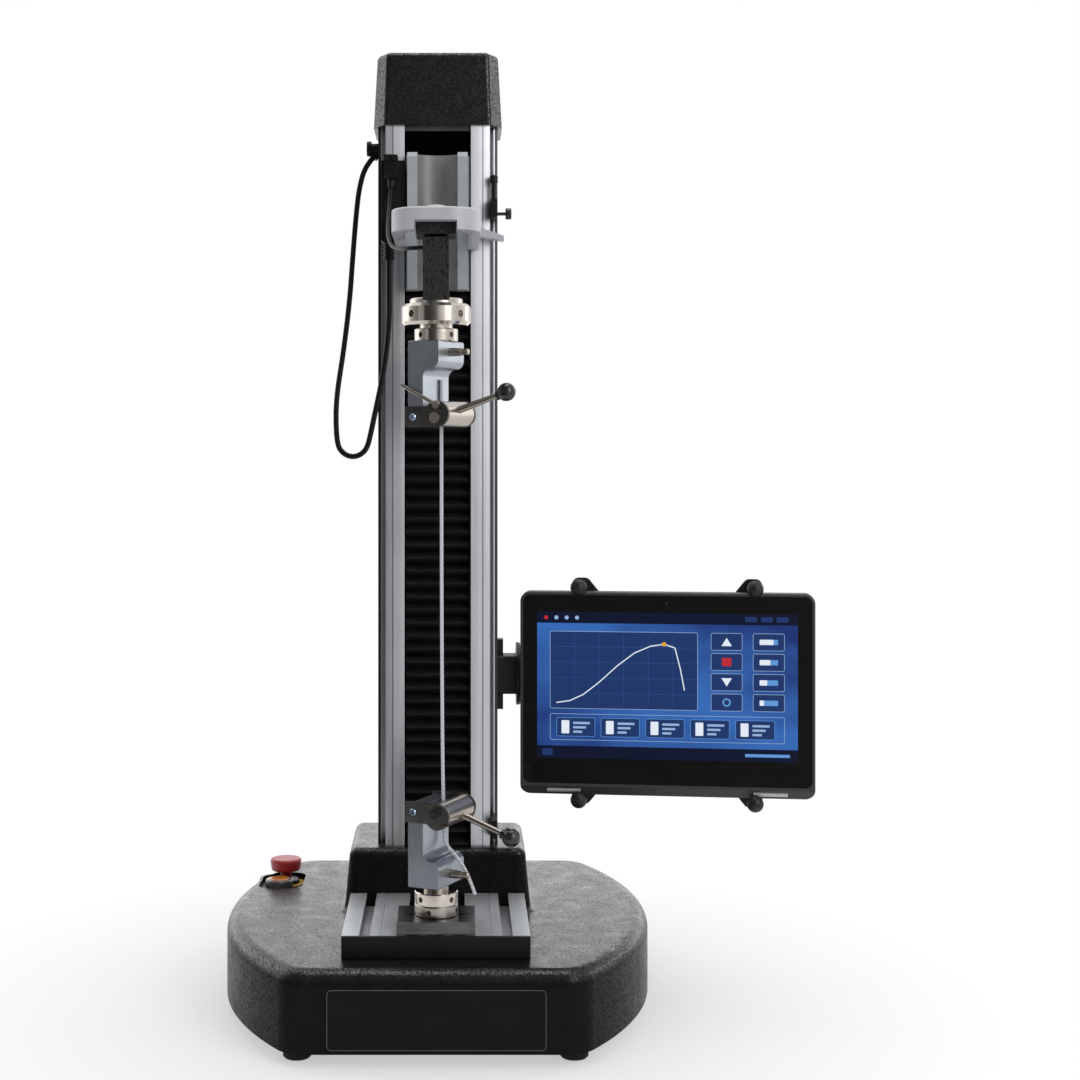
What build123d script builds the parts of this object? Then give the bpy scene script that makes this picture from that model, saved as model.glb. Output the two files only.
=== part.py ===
from build123d import *
import math
import os

# Single-column bench testing machine. Millimetres, +Z up, -Y towards the operator.
# The origin lies on the bench, straight below the load axis.

# General fits
run_gap = 0.05
free_gap = 0.3

# Feet and base housing
foot_d = 26
foot_h = 12.5
foot_front = (125, -42)
foot_back = (138, 335)
base_h = 73.5
base_front = -75
base_back = 372
base_half = 211
base_wide_y = 168
base_front_half = 131.5
base_back_half = 157
base_front_r = 30
base_back_r = 36
base_edge_r = 14
base_wall = 4
plate_t = 3
post_d = 14
plinth_ahead = 18
plinth_depth = 145
plinth_half = 93
plinth_h = 63
plinth_draft = 5
plinth_corner_r = 14
plinth_edge_r = 8
plinth_foot_r = 6

base_z = foot_h
base_top = base_z + base_h
plate_top = base_z + plate_t
plinth_top = base_top + plinth_h

# Work table with lengthwise T-slots
table_half = 86
table_front = -31.7
table_gap = 0.5
table_t = 20.5
cap_t = 4
slot_depth = 13
slot_lip = 5
slot_under = 3.5
table_slots = ((-65, 10), (-21.3, 11.4), (0, 16), (21.3, 11.4), (65, 10))
score_x = 50.5
score_w = 0.8
table_top = base_top + table_t

# Column and its cap
col_half = 60.5
col_front = 145
col_depth = 93
col_over = 52
lip_half = 52.5
open_half = 33.3
back_wall = 10
notch_depth = 18
groove_w = 4
groove_depth = 9
side_slot_w = 8
side_slot_under = 14
side_slot_lip = 4
side_slot_depth = 10
chamber_wall = 4.5
cap_in = 22
cap_h = 74
cap_half = 65
cap_over = 4
cap_cut_x = 12
cap_cut_y = 22
cap_draft = 3.2
cap_edge_r = 6
cap_side_r = 5

col_back = col_front + col_depth
col_mid_y = col_front + col_depth / 2
cavity_back = col_back - back_wall
plinth_front = col_front - plinth_ahead
plinth_y = plinth_front + plinth_depth / 2
table_back = plinth_front - table_gap

# Drive inside the column
screw_in = 33
screw_d = 16
screw_top_in = 6
motor_w = 57
motor_l = 58
shaft_d = 8
coupling_d = 25
coupling_l = 26
coupling_lift = 5
bearing_h = 25
low_bearing_up = 19
bearing_in = 27
rail_x = 18
rail_w = 15
rail_h = 10
block_w = 27
block_h = 19
block_l = 50
block_in = 5
block_clear = 2
nut_d = 28
nut_l = 40
nut_flange_d = 38
nut_flange_t = 8
board_w = 120
board_d = 50
board_t = 1.6
board_lift = 8
board_chips = ((-28, 25, 3.4), (28, 34, 18))
stand_d = 7

# Crosshead carriage, bellows and yoke
car_z = 707
car_h = 136
cheek_in = 20
cheek_t = 10
cheek_ahead = 25
cheek_top_cut = 5
cheek_foot_cut = 8
pan_half = 32
pan_in = 3
pan_t = 5
pan_curve = 8
pan_skin = 0.5
back_t = 12
shelf_up = 58
shelf_t = 12
bellows_half = 31.5
bellows_in = 4
bellows_fold = 12
bellows_skin = 1
lower_pleats = 44
upper_pleats = 7
yoke_up = 40.6
yoke_t = 21.1
yoke_front = -41
yoke_half = 41
yoke_nose_r = 30
leg_gap = 5
roof_back = 58
pocket_half = 19
pocket_h = 8.6
pocket_r = 14
tab_up = 11.4
tab_t = 4.8
tab_w = 16
tab_fall = 4
tab_end = 66

screw_y = col_front + screw_in
car_top = car_z + car_h
col_top = car_top + col_over
cap_z = col_top - cap_in
low_bearing_z = base_top + low_bearing_up
high_bearing_z = col_top - bearing_in
cheek_front = col_front - cheek_ahead
pan_y = col_front + pan_in
bellows_y = col_front + bellows_in
shelf_z = car_z + shelf_up
yoke_z = car_z + yoke_up
leg_back = col_front - leg_gap
tab_z = yoke_z + tab_up
yoke_top = yoke_z + yoke_t
roof_z = yoke_z + pocket_h
cheek_out = cheek_in + cheek_t

# Load cell and upper adapter
cell_w = 24
cell_d = 50
cell_drop = 62.6
cell_top_w = 37
cell_slot = 2.6
cell_slot_drop = 11
cell_slot_len = 40
cell_eye_d = 17
cell_bolt_d = 12
cell_bolt_in = 9
cell_head_d = 19
cell_head_h = 5.5
flange_d = 49
flange_t = 5.1
flange_over = 2.6
neck_d = 30
spigot_d = 20
spigot_in = 22
collar_d = 64
collar_t = 19.7
collar_bevel = 3
tommy_d = 6.5
tommy_depth = 7
ring_d = 40.3
ring_t = 11.8
ring_hole_d = 5
ring_bevel = 0.8
hole_count = 4
hole_turn = -45
low_hole_turn = -20

cell_z = yoke_z - cell_drop
flange_top = cell_z + flange_over
flange_z = flange_top - flange_t

# Grips: u runs across the jaw, v along the roller
grip_turn = -26
seat_drop = 37
seat_gap = 6.5
grip_half = 15.5
grip_len = 53
grip_h = 76.6
jaw_u = -0.4
step_z = 17.5
side_plate_t = 3
side_plate_h = 19
side_plate_out = 17
roller_d = 23.4
roller_u = 15
roller_z = 67.2
pivot_du = -1
pivot_dz = -3.5
pivot_d = 8
pivot_head_d = 10
pivot_head_t = 3
lever_angle = 18.5
lever_v = -5
lever_d = 6.5
lever_tip_d = 5
lever_l = 62
knob_d = 17
knob_neck_d = 9
trip_rod_d = 3.4
trip_rod_l = 40
trip_rod_angle = 153
trip_boss_d = 7
trip_boss_t = 4
pin_z = 10
pin_d = 6
pin_head_d = 8
pin_head_l = 11
pin_tip_l = 7
pin_far = 12

# Lower adapter on the table
adapter_w = 72
adapter_d = 62
adapter_t = 11.8
adapter_key_w = 3
adapter_key_l = 9
low_flange_t = 10.4
low_core_d = 22.7

upper_seat = cell_z - seat_drop
low_core_z = table_top + adapter_t
low_ring_z = low_core_z + low_flange_t
lower_seat = low_ring_z + ring_t + seat_gap

# Controls on the base, left and rear
panel_y = 266
panel_inset = 32.2
panel_w = 46
panel_l = 72
panel_r = 14
panel_sink = 8
panel_floor = 3
panel_plate_t = 1.2
start_off = (-2, -16)
stop_off = (2, 18)
button_hole_d = 22.5
barrel_d = 22
barrel_l = 26
bezel_d = 28.6
bezel_h = 12.5
lens_d = 21
lens_over = 1
start_travel = 3
stop_collar_d = 29
stop_collar_h = 4.5
stop_head_d = 34
stop_head_low_d = 30.5
stop_head_h = 13
stop_head_r = 2.5
stop_head_lift = 7
stop_stem_d = 12
inlet_x = -95
inlet_sink = 3.25
inlet_w = 30
inlet_h = 50
inlet_t = 3
inlet_body = 22
socket_w = 24
socket_h = 16.5
socket_depth = 17
socket_drop = 9
rocker_w = 18
rocker_h = 13
rocker_rise = 13
rocker_pin_d = 3
rocker_clear = 1
rocker_depth = 10
rocker_rear = 3
rocker_crown = 2.5
rocker_in = 4
contact_t = 2
contact_h = 4
socket_pins = ((-7, -3), (7, -3), (0, 2))

stop_head_z = base_top + stop_head_lift
inlet_at = (inlet_x, base_z + base_h / 2 - inlet_sink)
rocker_y = base_back + inlet_t - rocker_in

# Limit stops on the right-hand groove
stop_w = 7
stop_h = 18
stop_ahead = 17
upper_stop_up = 72
lower_stop_up = 11
thumb_d = 11.5
thumb_t = 5
thumb_stem_d = 3.5
thumb_reach = 9
thumb_drop = 4
adjuster_d = 4.5
adjuster_l = 17
adjuster_head_d = 8

stop_front = col_front - stop_ahead
upper_stop_z = car_z + upper_stop_up
lower_stop_z = plinth_top + lower_stop_up

# Signal cable, cell connector and specimen
cable_d = 5.5
lead_d = 4
specimen_d = 3.2
gland_d = 9.6
gland_neck_d = 11
gland_head_d = 15.5
gland_head_t = 5
gland_l = 13
gland_rise = 9
conn_aside = 26
conn_w = 24
conn_ahead = 18
conn_t = 15
conn_cut = 4
conn_up = 68
conn_h = 60
conn_tail_w = 13
conn_tail_h = 23
plug_w = 14
plug_d = 14
plug_h = 23
plug_up = 109
plug_r = 2
plug_boot_d = 9.8
plug_boot_l = 14
thread_d = 4.5
relief_d = 9
relief_l = 17
relief_ribs = 4
relief_rib = 1
specimen_u = 1.3
specimen_v = 8.3

conn_x = -cheek_out - conn_aside
conn_y = col_front - conn_ahead
conn_z = car_z + conn_up
plug_z = car_z + plug_up

# Tablet and its ball-socket arm
tablet_left = 81.5
tablet_ahead = 24
tablet_z = 304
tablet_turn = -7
tablet_w = 291
tablet_h = 203
tablet_t = 20
tablet_r = 10
tablet_rim = 3
tablet_split = 11
tablet_groove = 1.5
chin_h = 9
chin_deep = 7
glass_t = 1.2
hinge_l = 33
hinge_d = 6
hinge_x = 102
hinge_in = (4.7, 5.4)
finger_x = 87
finger_d = 16.5
finger_groove_d = 8.4
finger_front = 6.5
finger_back = 2.2
jaw_t = 5
jaw_arm_w = 16
jaw_root_w = 30
jaw_gap = 2
hub_d = 62
hub_t = 5
stud_d = 9
ball_d = 25.4
mount_up = 14
mount_block_w = 19.5
mount_block_d = 30
mount_block_h = 39
mount_ear = 16
mount_ear_t = 6
round_plate_d = 63.5
round_plate_t = 4
ball_gap = 0.3
ball_one_x = 112
arm_in = 37
arm_w = 31
arm_rim = 7.5
arm_crown = 18
arm_bolt_d = 8
arm_knob_d = 30
arm_knob_h = 14
arm_mouth_d = 20
knob_lobes = 6

tablet_at = (tablet_left + tablet_w / 2, col_front - tablet_ahead, tablet_z)
mount_z = tablet_z + mount_up
arm_y = col_front + arm_in


def box(x0, x1, y0, y1, z0, z1):
    return Pos((x0 + x1) / 2, (y0 + y1) / 2, (z0 + z1) / 2) * Box(x1 - x0, y1 - y0, z1 - z0)


def post(x, y, z0, z1, d):
    return Pos(x, y, (z0 + z1) / 2) * Cylinder(d / 2, z1 - z0)


def rod(start, end, d, d_end=None):
    a = Vector(*start)
    b = Vector(*end)
    place = Plane(origin=a, z_dir=b - a)
    length = (b - a).length
    if d_end is None:
        shape = Cylinder(d / 2, length, align=(Align.CENTER, Align.CENTER, Align.MIN))
    else:
        shape = Cone(d / 2, d_end / 2, length, align=(Align.CENTER, Align.CENTER, Align.MIN))
    return place * shape


def prism(points, plane, amount, both=False):
    return extrude(plane * make_face(Polyline(*points, close=True)), amount, both=both)


def cord(points, d, name):
    # A tube of straight runs joined by arcs as large as the runs allow
    path_points = [Vector(*p) for p in points]
    runs = [(b - a) for a, b in zip(path_points, path_points[1:])]
    radii = []
    for before, after in zip(runs, runs[1:]):
        turn = math.radians(before.get_angle(after))
        radii.append(0.45 * min(before.length, after.length) / math.tan(turn / 2))
    path = FilletPolyline(*points, radius=radii)
    start = Plane(origin=path_points[0], z_dir=runs[0])
    tube = sweep(start * Circle(d / 2), path=path)
    share = tube.volume / (math.pi * d * d / 4 * path.length)
    sizes = (round(path.length, 1), round(min(radii), 1), round(share, 4))
    print(name, "length, least radius and fill:", *sizes)
    return tube


# Base group


def base_outline():
    ahead = (base_front_half, base_front)
    behind = (base_back_half, base_back)
    right = ThreePointArc(ahead, (base_half, base_wide_y), behind)
    left = mirror(right, Plane.YZ)
    front = Line((-base_front_half, base_front), (base_front_half, base_front))
    back = Line((base_back_half, base_back), (-base_back_half, base_back))
    face = make_face([front, right, back, left])
    corners = face.vertices().sort_by(Axis.Y)
    face = fillet(corners[:2], base_front_r)
    corners = face.vertices().sort_by(Axis.Y)
    return fillet(corners[-2:], base_back_r)


side_arc = ThreePointArc((base_front_half, base_front), (base_half, base_wide_y), (base_back_half, base_back))


def base_side(y):
    # Half width of the base at this depth
    middle = side_arc.arc_center
    return middle.X + math.sqrt(side_arc.radius**2 - (y - middle.Y) ** 2)


panel_at = (panel_inset - base_side(panel_y), panel_y)
start_at = (panel_at[0] + start_off[0], panel_at[1] + start_off[1])
stop_at = (panel_at[0] + stop_off[0], panel_at[1] + stop_off[1])


def column_envelope(grow):
    notch_y = col_front + notch_depth
    points = [
        (-lip_half - grow, col_front - grow),
        (lip_half + grow, col_front - grow),
        (lip_half + grow, notch_y - grow),
        (col_half + grow, notch_y - grow),
        (col_half + grow, col_back + grow),
        (-col_half - grow, col_back + grow),
        (-col_half - grow, notch_y - grow),
        (-lip_half - grow, notch_y - grow),
    ]
    return make_face(Polyline(*points, close=True))


def control_pocket(grow, z0, z1):
    shape = Pos(*panel_at) * RectangleRounded(panel_w + 2 * grow, panel_l + 2 * grow, panel_r + grow)
    return extrude(Pos(0, 0, z0) * shape, z1 - z0)


def base_housing():
    outline = base_outline()
    outer = extrude(Pos(0, 0, base_z) * outline, base_h)
    top_edges = outer.faces().sort_by(Axis.Z)[-1].edges()
    outer = fillet(top_edges, base_edge_r)
    foot = Pos(0, plinth_y, base_top) * RectangleRounded(2 * plinth_half, plinth_depth, plinth_corner_r)
    plinth = extrude(foot, plinth_h, taper=plinth_draft)
    plinth = fillet(plinth.faces().sort_by(Axis.Z)[-1].edges(), plinth_edge_r)
    body = outer + plinth
    seam = body.edges().filter_by_position(Axis.Z, base_top - 0.01, base_top + 0.01)
    seam = seam.filter_by_position(Axis.X, -plinth_half - 1, plinth_half + 1)
    seam = seam.filter_by_position(Axis.Y, plinth_front - 1, plinth_front + plinth_depth + 1)
    body = fillet(seam, plinth_foot_r)
    inner_face = offset(outline, -base_wall)
    inner = extrude(Pos(0, 0, base_z) * inner_face, base_h - base_wall)
    inner = fillet(inner.faces().sort_by(Axis.Z)[-1].edges(), base_edge_r - base_wall)
    inner_foot = RectangleRounded(
        2 * (plinth_half - base_wall),
        plinth_depth - 2 * base_wall,
        plinth_corner_r - base_wall,
    )
    inner_foot = Pos(0, plinth_y, base_top - 2 * base_wall) * inner_foot
    hollow = inner + extrude(inner_foot, plinth_h + base_wall, taper=plinth_draft)
    body = body - hollow
    for x, y in post_places():
        body = body + post(x, y, plate_top, base_top - base_wall / 2, post_d)
    body = body + control_pocket(panel_floor, base_top - panel_sink - panel_floor, base_top - base_wall / 2)
    body = body - control_pocket(0, base_top - panel_sink, base_top + 1)
    for x, y in (start_at, stop_at):
        body = body - post(x, y, base_top - 2 * panel_sink, base_top, button_hole_d)
    body = body - extrude(column_envelope(free_gap), 2 * plinth_top)
    body = body - table_room()
    return body - inlet_hole()


def post_places():
    x = base_front_half - base_front_r
    return ((x, 0), (-x, 0), (x, base_back - 45), (-x, base_back - 45))


def table_room():
    half = table_half + free_gap
    return box(-half, half, table_front, table_back + free_gap, base_top, table_top + plinth_foot_r)


def inlet_hole():
    x, z = inlet_at
    w = inlet_w / 2 - inlet_t
    h = inlet_h / 2 - inlet_t
    return box(x - w, x + w, base_back - 2 * base_wall, base_back + 1, z - h, z + h)


def base_plate():
    face = offset(base_outline(), -base_wall - free_gap)
    return extrude(Pos(0, 0, base_z) * face, plate_t)


def rubber_feet():
    feet = []
    for x, y in (foot_front, foot_back):
        for side in (-1, 1):
            foot = Cylinder(foot_d / 2, foot_h, align=(Align.CENTER, Align.CENTER, Align.MIN))
            foot = chamfer(foot.edges().sort_by(Axis.Z)[:1], 2)
            feet.append(Pos(side * x, y, 0) * foot)
    return feet


def work_table():
    face = Rectangle(2 * table_half, table_t)
    for x, w in table_slots:
        face -= Pos(x, (table_t - slot_depth) / 2) * Rectangle(w, slot_depth)
        under = slot_depth - slot_lip
        face -= Pos(x, table_t / 2 - slot_depth + under / 2) * Rectangle(w + 2 * slot_under, under)
    for x in (-score_x, score_x):
        face -= Pos(x, table_t / 2) * Rectangle(score_w, 2 * score_w)
    plane = Plane(origin=(0, table_back, base_top + table_t / 2), x_dir=(1, 0, 0), z_dir=(0, -1, 0))
    return extrude(plane * face, table_back - table_front)


def table_end_cap():
    plate = box(-table_half, table_half, table_front - cap_t, table_front, base_top, table_top)
    return fillet(plate.faces().sort_by(Axis.Y)[0].edges(), 1.5)


def adapter_plate():
    plate = Pos(0, 0, table_top + adapter_t / 2) * Box(adapter_w, adapter_d, adapter_t)
    plate = chamfer(plate.faces().sort_by(Axis.Z)[-1].edges(), 0.8)
    for side in (-1, 1):
        x = side * (ring_d / 2 + adapter_key_l / 2 + 1)
        key = Pos(x, 0, table_top + adapter_t) * Box(adapter_key_l, adapter_key_w, adapter_t)
        plate = plate - key
    return plate


def ring(z, t, d, bore, hole_d, turn, bevel):
    body = Pos(0, 0, z + t / 2) * (Cylinder(d / 2, t) - Cylinder(bore / 2, t))
    rims = body.edges().filter_by(GeomType.CIRCLE).sort_by(SortBy.RADIUS)[-2:]
    body = chamfer(rims, bevel)
    for i in range(hole_count):
        hole = rod((d / 2 - tommy_depth, 0, z + t / 2), (d / 2, 0, z + t / 2), hole_d)
        body = body - Rot(0, 0, turn + 360 / hole_count * i) * hole
    return body


def lower_adapter():
    flange = ring(low_core_z, low_flange_t, ring_d, low_core_d - 1, ring_hole_d, low_hole_turn, ring_bevel)
    core = post(0, 0, low_core_z, lower_seat - free_gap, low_core_d)
    tip = post(0, 0, lower_seat - 1, lower_seat + spigot_in, spigot_d)
    pin = grip_place("lower") * pin_hole()
    return flange + core + tip - pin


def lower_lock_ring():
    return ring(low_ring_z, ring_t, ring_d, low_core_d + 2 * run_gap, ring_hole_d, hole_turn, ring_bevel)


# Column group


def column():
    face = column_envelope(0)
    face -= Pos(0, (col_front + cavity_back) / 2) * Rectangle(2 * open_half, cavity_back - col_front)
    notch_y = col_front + notch_depth
    for side in (-1, 1):
        groove_x = side * (lip_half + groove_w / 2)
        face -= Pos(groove_x, notch_y + groove_depth / 2) * Rectangle(groove_w, groove_depth)
        slot_x = side * (col_half - side_slot_lip / 2)
        face -= Pos(slot_x, arm_y) * Rectangle(side_slot_lip, side_slot_w)
        under = side_slot_depth - side_slot_lip
        under_x = side * (col_half - side_slot_lip - under / 2)
        face -= Pos(under_x, arm_y) * Rectangle(under, side_slot_under)
        x0 = open_half + chamber_wall
        x1 = col_half - side_slot_depth - chamber_wall
        y0 = notch_y + chamber_wall
        y1 = col_back - chamber_wall
        face -= Pos(side * (x0 + x1) / 2, (y0 + y1) / 2) * Rectangle(x1 - x0, y1 - y0)
    return extrude(Pos(0, 0, plate_top) * face, col_top - plate_top)


def top_cap():
    half_y = col_depth / 2 + cap_over
    flat_x = cap_half - cap_cut_x
    flat_y = half_y - cap_cut_y
    points = [
        (-flat_x, -half_y),
        (flat_x, -half_y),
        (cap_half, -flat_y),
        (cap_half, half_y),
        (-cap_half, half_y),
        (-cap_half, -flat_y),
    ]
    face = Pos(0, col_mid_y, cap_z) * make_face(Polyline(*points, close=True))
    body = extrude(face, cap_h, taper=cap_draft)
    upright = body.edges().filter_by(lambda edge: abs(edge.tangent_at(0.5).Z) > 0.9)
    body = fillet(upright, cap_side_r)
    body = fillet(body.faces().sort_by(Axis.Z)[-1].edges(), cap_edge_r)
    return body - extrude(Pos(0, 0, cap_z) * column_envelope(free_gap), col_top - cap_z)


def guide_rails():
    rails = []
    for side in (-1, 1):
        x = side * rail_x
        z0 = low_bearing_z + bearing_h
        rails.append(
            box(x - rail_w / 2, x + rail_w / 2, cavity_back - rail_h, cavity_back, z0, high_bearing_z)
        )
    return rails


def screw_bearings():
    blocks = []
    for z in (low_bearing_z, high_bearing_z):
        half = open_half - run_gap
        block = box(-half, half, bellows_y, cavity_back, z, z + bearing_h)
        blocks.append(block - post(0, screw_y, z, z + bearing_h, screw_d + 2 * run_gap))
    return blocks


motor_top = plate_top + motor_l
coupling_z = motor_top + coupling_lift


def drive_motor():
    body = Pos(0, screw_y, plate_top + motor_l / 2) * Box(motor_w, motor_w, motor_l)
    body = chamfer(body.edges().filter_by(Axis.Z), 4)
    return body - post(0, screw_y, motor_top - motor_l / 2, motor_top, shaft_d + 2 * run_gap)


def shaft_coupling():
    middle = coupling_z + coupling_l / 2
    sleeve = post(0, screw_y, coupling_z, coupling_z + coupling_l, coupling_d)
    sleeve = sleeve - post(0, screw_y, coupling_z, middle, shaft_d)
    sleeve = sleeve - post(0, screw_y, middle, coupling_z + coupling_l, screw_d)
    shaft = post(0, screw_y, motor_top - motor_l / 3, middle, shaft_d)
    return [sleeve, shaft]


def drive_screw():
    start = coupling_z + coupling_l / 2
    screw = post(0, screw_y, start, high_bearing_z + bearing_h - screw_top_in, screw_d)
    return chamfer(screw.edges().sort_by(Axis.Z)[-1:], 1)


def control_board():
    z = plate_top + board_lift
    top = z + board_t
    middle = (col_back + base_back) / 2
    board = Pos(0, middle, z + board_t / 2) * Box(board_w, board_d, board_t)
    for x, w, h in board_chips:
        board = board + Pos(x, middle, top + h / 2) * Box(w, w, h)
    pieces = [board]
    for x in (-1, 1):
        for y in (-1, 1):
            stand_x = x * (board_w / 2 - stand_d)
            stand_y = middle + y * (board_d / 2 - stand_d)
            pieces.append(post(stand_x, stand_y, plate_top, z, stand_d))
    return pieces


def bellows(z0, z1, pleats):
    folds = 2 * round(pleats)
    front = []
    for i in range(folds + 1):
        y = bellows_y if i % 2 else bellows_y + bellows_fold
        front.append((y, z0 + (z1 - z0) * i / folds))
    back = [(y + bellows_skin, z) for y, z in reversed(front)]
    return prism(front + back, Plane.YZ, bellows_half, both=True)


def cable_gland():
    x, y, z = signal_route[0]
    nx, ny, nz = signal_route[1]
    run = Vector(nx - x, ny - y, nz - z).normalized()
    start = Vector(x, y, z)
    nozzle = rod(tuple(start - run * gland_d), tuple(start), gland_d)
    seat = z + gland_rise
    tip = -col_half - gland_l
    neck = rod((-col_half, y, seat), (tip, y, seat), gland_neck_d)
    head = rod((tip + gland_head_t, y, seat), (tip, y, seat), gland_head_d)
    head = fillet(head.edges().filter_by(GeomType.CIRCLE), gland_head_t / 4)
    body = neck + head + nozzle
    room = 4 * gland_d
    return body - box(-col_half, 0, y - room, y + room, z - room, z + room)


# Crosshead group


def carriage():
    back_y = cavity_back - block_h
    body = box(-cheek_out, cheek_out, back_y - back_t, back_y, car_z, car_top)
    for side in (-1, 1):
        profile = [
            (back_y, car_z),
            (cheek_front + cheek_foot_cut, car_z),
            (cheek_front, car_z + 3 * cheek_foot_cut),
            (cheek_front, car_top - cheek_top_cut),
            (cheek_front + cheek_top_cut, car_top),
            (back_y, car_top),
        ]
        x = cheek_in if side > 0 else -cheek_out
        body = body + prism(profile, Plane.YZ.offset(x), cheek_t)
    body = body + box(-pan_half, pan_half, pan_y, pan_y + pan_t, car_z, car_top)
    trough = make_face(
        [
            Line((-cheek_in, pan_y), (cheek_in, pan_y)),
            Line((cheek_in, pan_y), (cheek_in, pan_y - pan_curve)),
            ThreePointArc((cheek_in, pan_y - pan_curve), (0, pan_y - pan_skin), (-cheek_in, pan_y - pan_curve)),
            Line((-cheek_in, pan_y - pan_curve), (-cheek_in, pan_y)),
        ]
    )
    body = body + extrude(Pos(0, 0, car_z) * trough, car_top - car_z)
    shelf = box(-cheek_out, cheek_out, pan_y, back_y, shelf_z, shelf_z + shelf_t)
    body = body + shelf
    return body - post(0, screw_y, car_z, car_top, nut_d + 2 * run_gap)


def trip_tab():
    points = [
        (yoke_half, tab_z),
        (tab_end, tab_z - tab_fall),
        (tab_end, tab_z - tab_fall + tab_t),
        (yoke_half, tab_z + 2 * tab_t),
    ]
    plane = Plane(origin=(0, leg_back, 0), x_dir=(1, 0, 0), z_dir=(0, -1, 0))
    return prism(points, plane, tab_w)


def guide_blocks():
    blocks = []
    y0 = cavity_back - block_h
    for side in (-1, 1):
        for z in (car_z + block_in, car_top - block_in - block_l):
            x = side * rail_x
            y1 = cavity_back - block_clear
            block = box(x - block_w / 2, x + block_w / 2, y0, y1, z, z + block_l)
            half = rail_w / 2 + run_gap
            way = box(x - half, x + half, cavity_back - rail_h - run_gap, cavity_back, z, z + block_l)
            blocks.append(block - way)
    return blocks


def screw_nut():
    top = shelf_z + shelf_t
    body = post(0, screw_y, top - nut_l, top, nut_d)
    body = body + post(0, screw_y, top, top + nut_flange_t, nut_flange_d)
    return body - post(0, screw_y, top - nut_l, top + nut_flange_t, screw_d + 2 * run_gap)


def yoke():
    leg_in = cheek_out
    outer = Pos(0, (yoke_front + leg_back) / 2) * Rectangle(2 * yoke_half, leg_back - yoke_front)
    outer = fillet(outer.vertices().sort_by(Axis.Y)[:2], yoke_nose_r)
    body = extrude(Pos(0, 0, yoke_z) * outer, yoke_t)
    body = body - box(-leg_in, leg_in, roof_back, leg_back, yoke_z, yoke_top)
    pocket = make_face(
        Polyline(
            (-pocket_half, yoke_front),
            (pocket_half, yoke_front),
            (leg_in, 0),
            (leg_in, roof_back),
            (-leg_in, roof_back),
            (-leg_in, 0),
            close=True,
        )
    )
    pocket = fillet(pocket.vertices().filter_by_position(Axis.Y, -1, 1), pocket_r)
    body = body - extrude(Pos(0, 0, yoke_z) * pocket, pocket_h)
    rim = body.faces().sort_by(Axis.Z)[-1].outer_wire().edges()
    body = fillet(rim.filter_by_position(Axis.Y, yoke_front - 1, roof_back), 2.5)
    body = body + trip_tab()
    return body - post(0, 0, roof_z, yoke_top, cell_bolt_d + 2 * free_gap)


def cell_bolt():
    head = post(0, 0, yoke_top, yoke_top + cell_head_h, cell_head_d)
    head = fillet(head.edges().sort_by(Axis.Z)[-1:], cell_head_h / 2)
    return head + post(0, 0, roof_z - cell_bolt_in, yoke_top, cell_bolt_d)


def load_cell():
    body = box(-cell_w / 2, cell_w / 2, -cell_d / 2, cell_d / 2, cell_z, roof_z)
    head_half = cell_top_w / 2
    body = body + box(-head_half, head_half, -cell_d / 2, cell_d / 2, roof_z - cell_slot_drop, roof_z)
    half = cell_slot / 2
    top_z = roof_z - cell_slot_drop - half
    low_z = cell_z + cell_slot_drop + half
    reach = cell_slot_len
    body = body - box(-cell_top_w, cell_top_w, -cell_d / 2, reach - cell_d / 2, top_z - half, top_z + half)
    body = body - box(-cell_w, cell_w, cell_d / 2 - reach, cell_d / 2, low_z - half, low_z + half)
    for y in (-cell_eye_d / 2 + 2, cell_eye_d / 2 - 2):
        body = body - Pos(0, y, (top_z + low_z) / 2) * Rot(0, 90, 0) * Cylinder(cell_eye_d / 2, 2 * cell_w)
    for z0, z1 in ((roof_z - cell_bolt_in, roof_z), (cell_z, cell_z + cell_bolt_in)):
        body = body - post(0, 0, z0, z1, cell_bolt_d)
    return body


def upper_adapter():
    flange = post(0, 0, flange_z, flange_top, flange_d)
    flange = chamfer(flange.edges().sort_by(Axis.Z)[-1:], 1)
    half = cell_w / 2 + free_gap
    flange = flange - box(-half, half, -flange_d, flange_d, cell_z, flange_top)
    body = flange + post(0, 0, cell_z, cell_z + cell_bolt_in, cell_bolt_d)
    body = body + post(0, 0, upper_seat + ring_t + free_gap, flange_z, neck_d)
    body = body + post(0, 0, upper_seat - spigot_in, flange_z, spigot_d)
    return body - grip_place("upper") * pin_hole()


def adapter_collar():
    z = flange_z - collar_t
    return ring(z, collar_t, collar_d, neck_d + 2 * run_gap, tommy_d, hole_turn, collar_bevel)


def upper_lock_ring():
    return ring(upper_seat, ring_t, ring_d, spigot_d + 2 * run_gap, ring_hole_d, hole_turn, ring_bevel)


def connector_housing():
    x1 = conn_x + conn_w
    low = conn_z - conn_tail_h
    points = [
        (conn_x, conn_z + conn_h),
        (conn_x, low + conn_cut),
        (conn_x + conn_cut, low),
        (conn_x + conn_tail_w, low),
        (conn_x + conn_tail_w, conn_z),
        (x1, conn_z),
        (x1, conn_z + conn_h),
    ]
    plane = Plane(origin=(0, conn_y + conn_t, 0), x_dir=(1, 0, 0), z_dir=(0, -1, 0))
    sheet = prism(points, plane, conn_t)
    z0 = conn_z + conn_h / 6
    z1 = conn_z + conn_h - conn_h / 6
    arm = box(x1, -cheek_out, conn_y + conn_t / 4, conn_y + conn_t * 3 / 4, z0, z1)
    return [sheet + arm + cable_relief(), lead_plug()]


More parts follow.
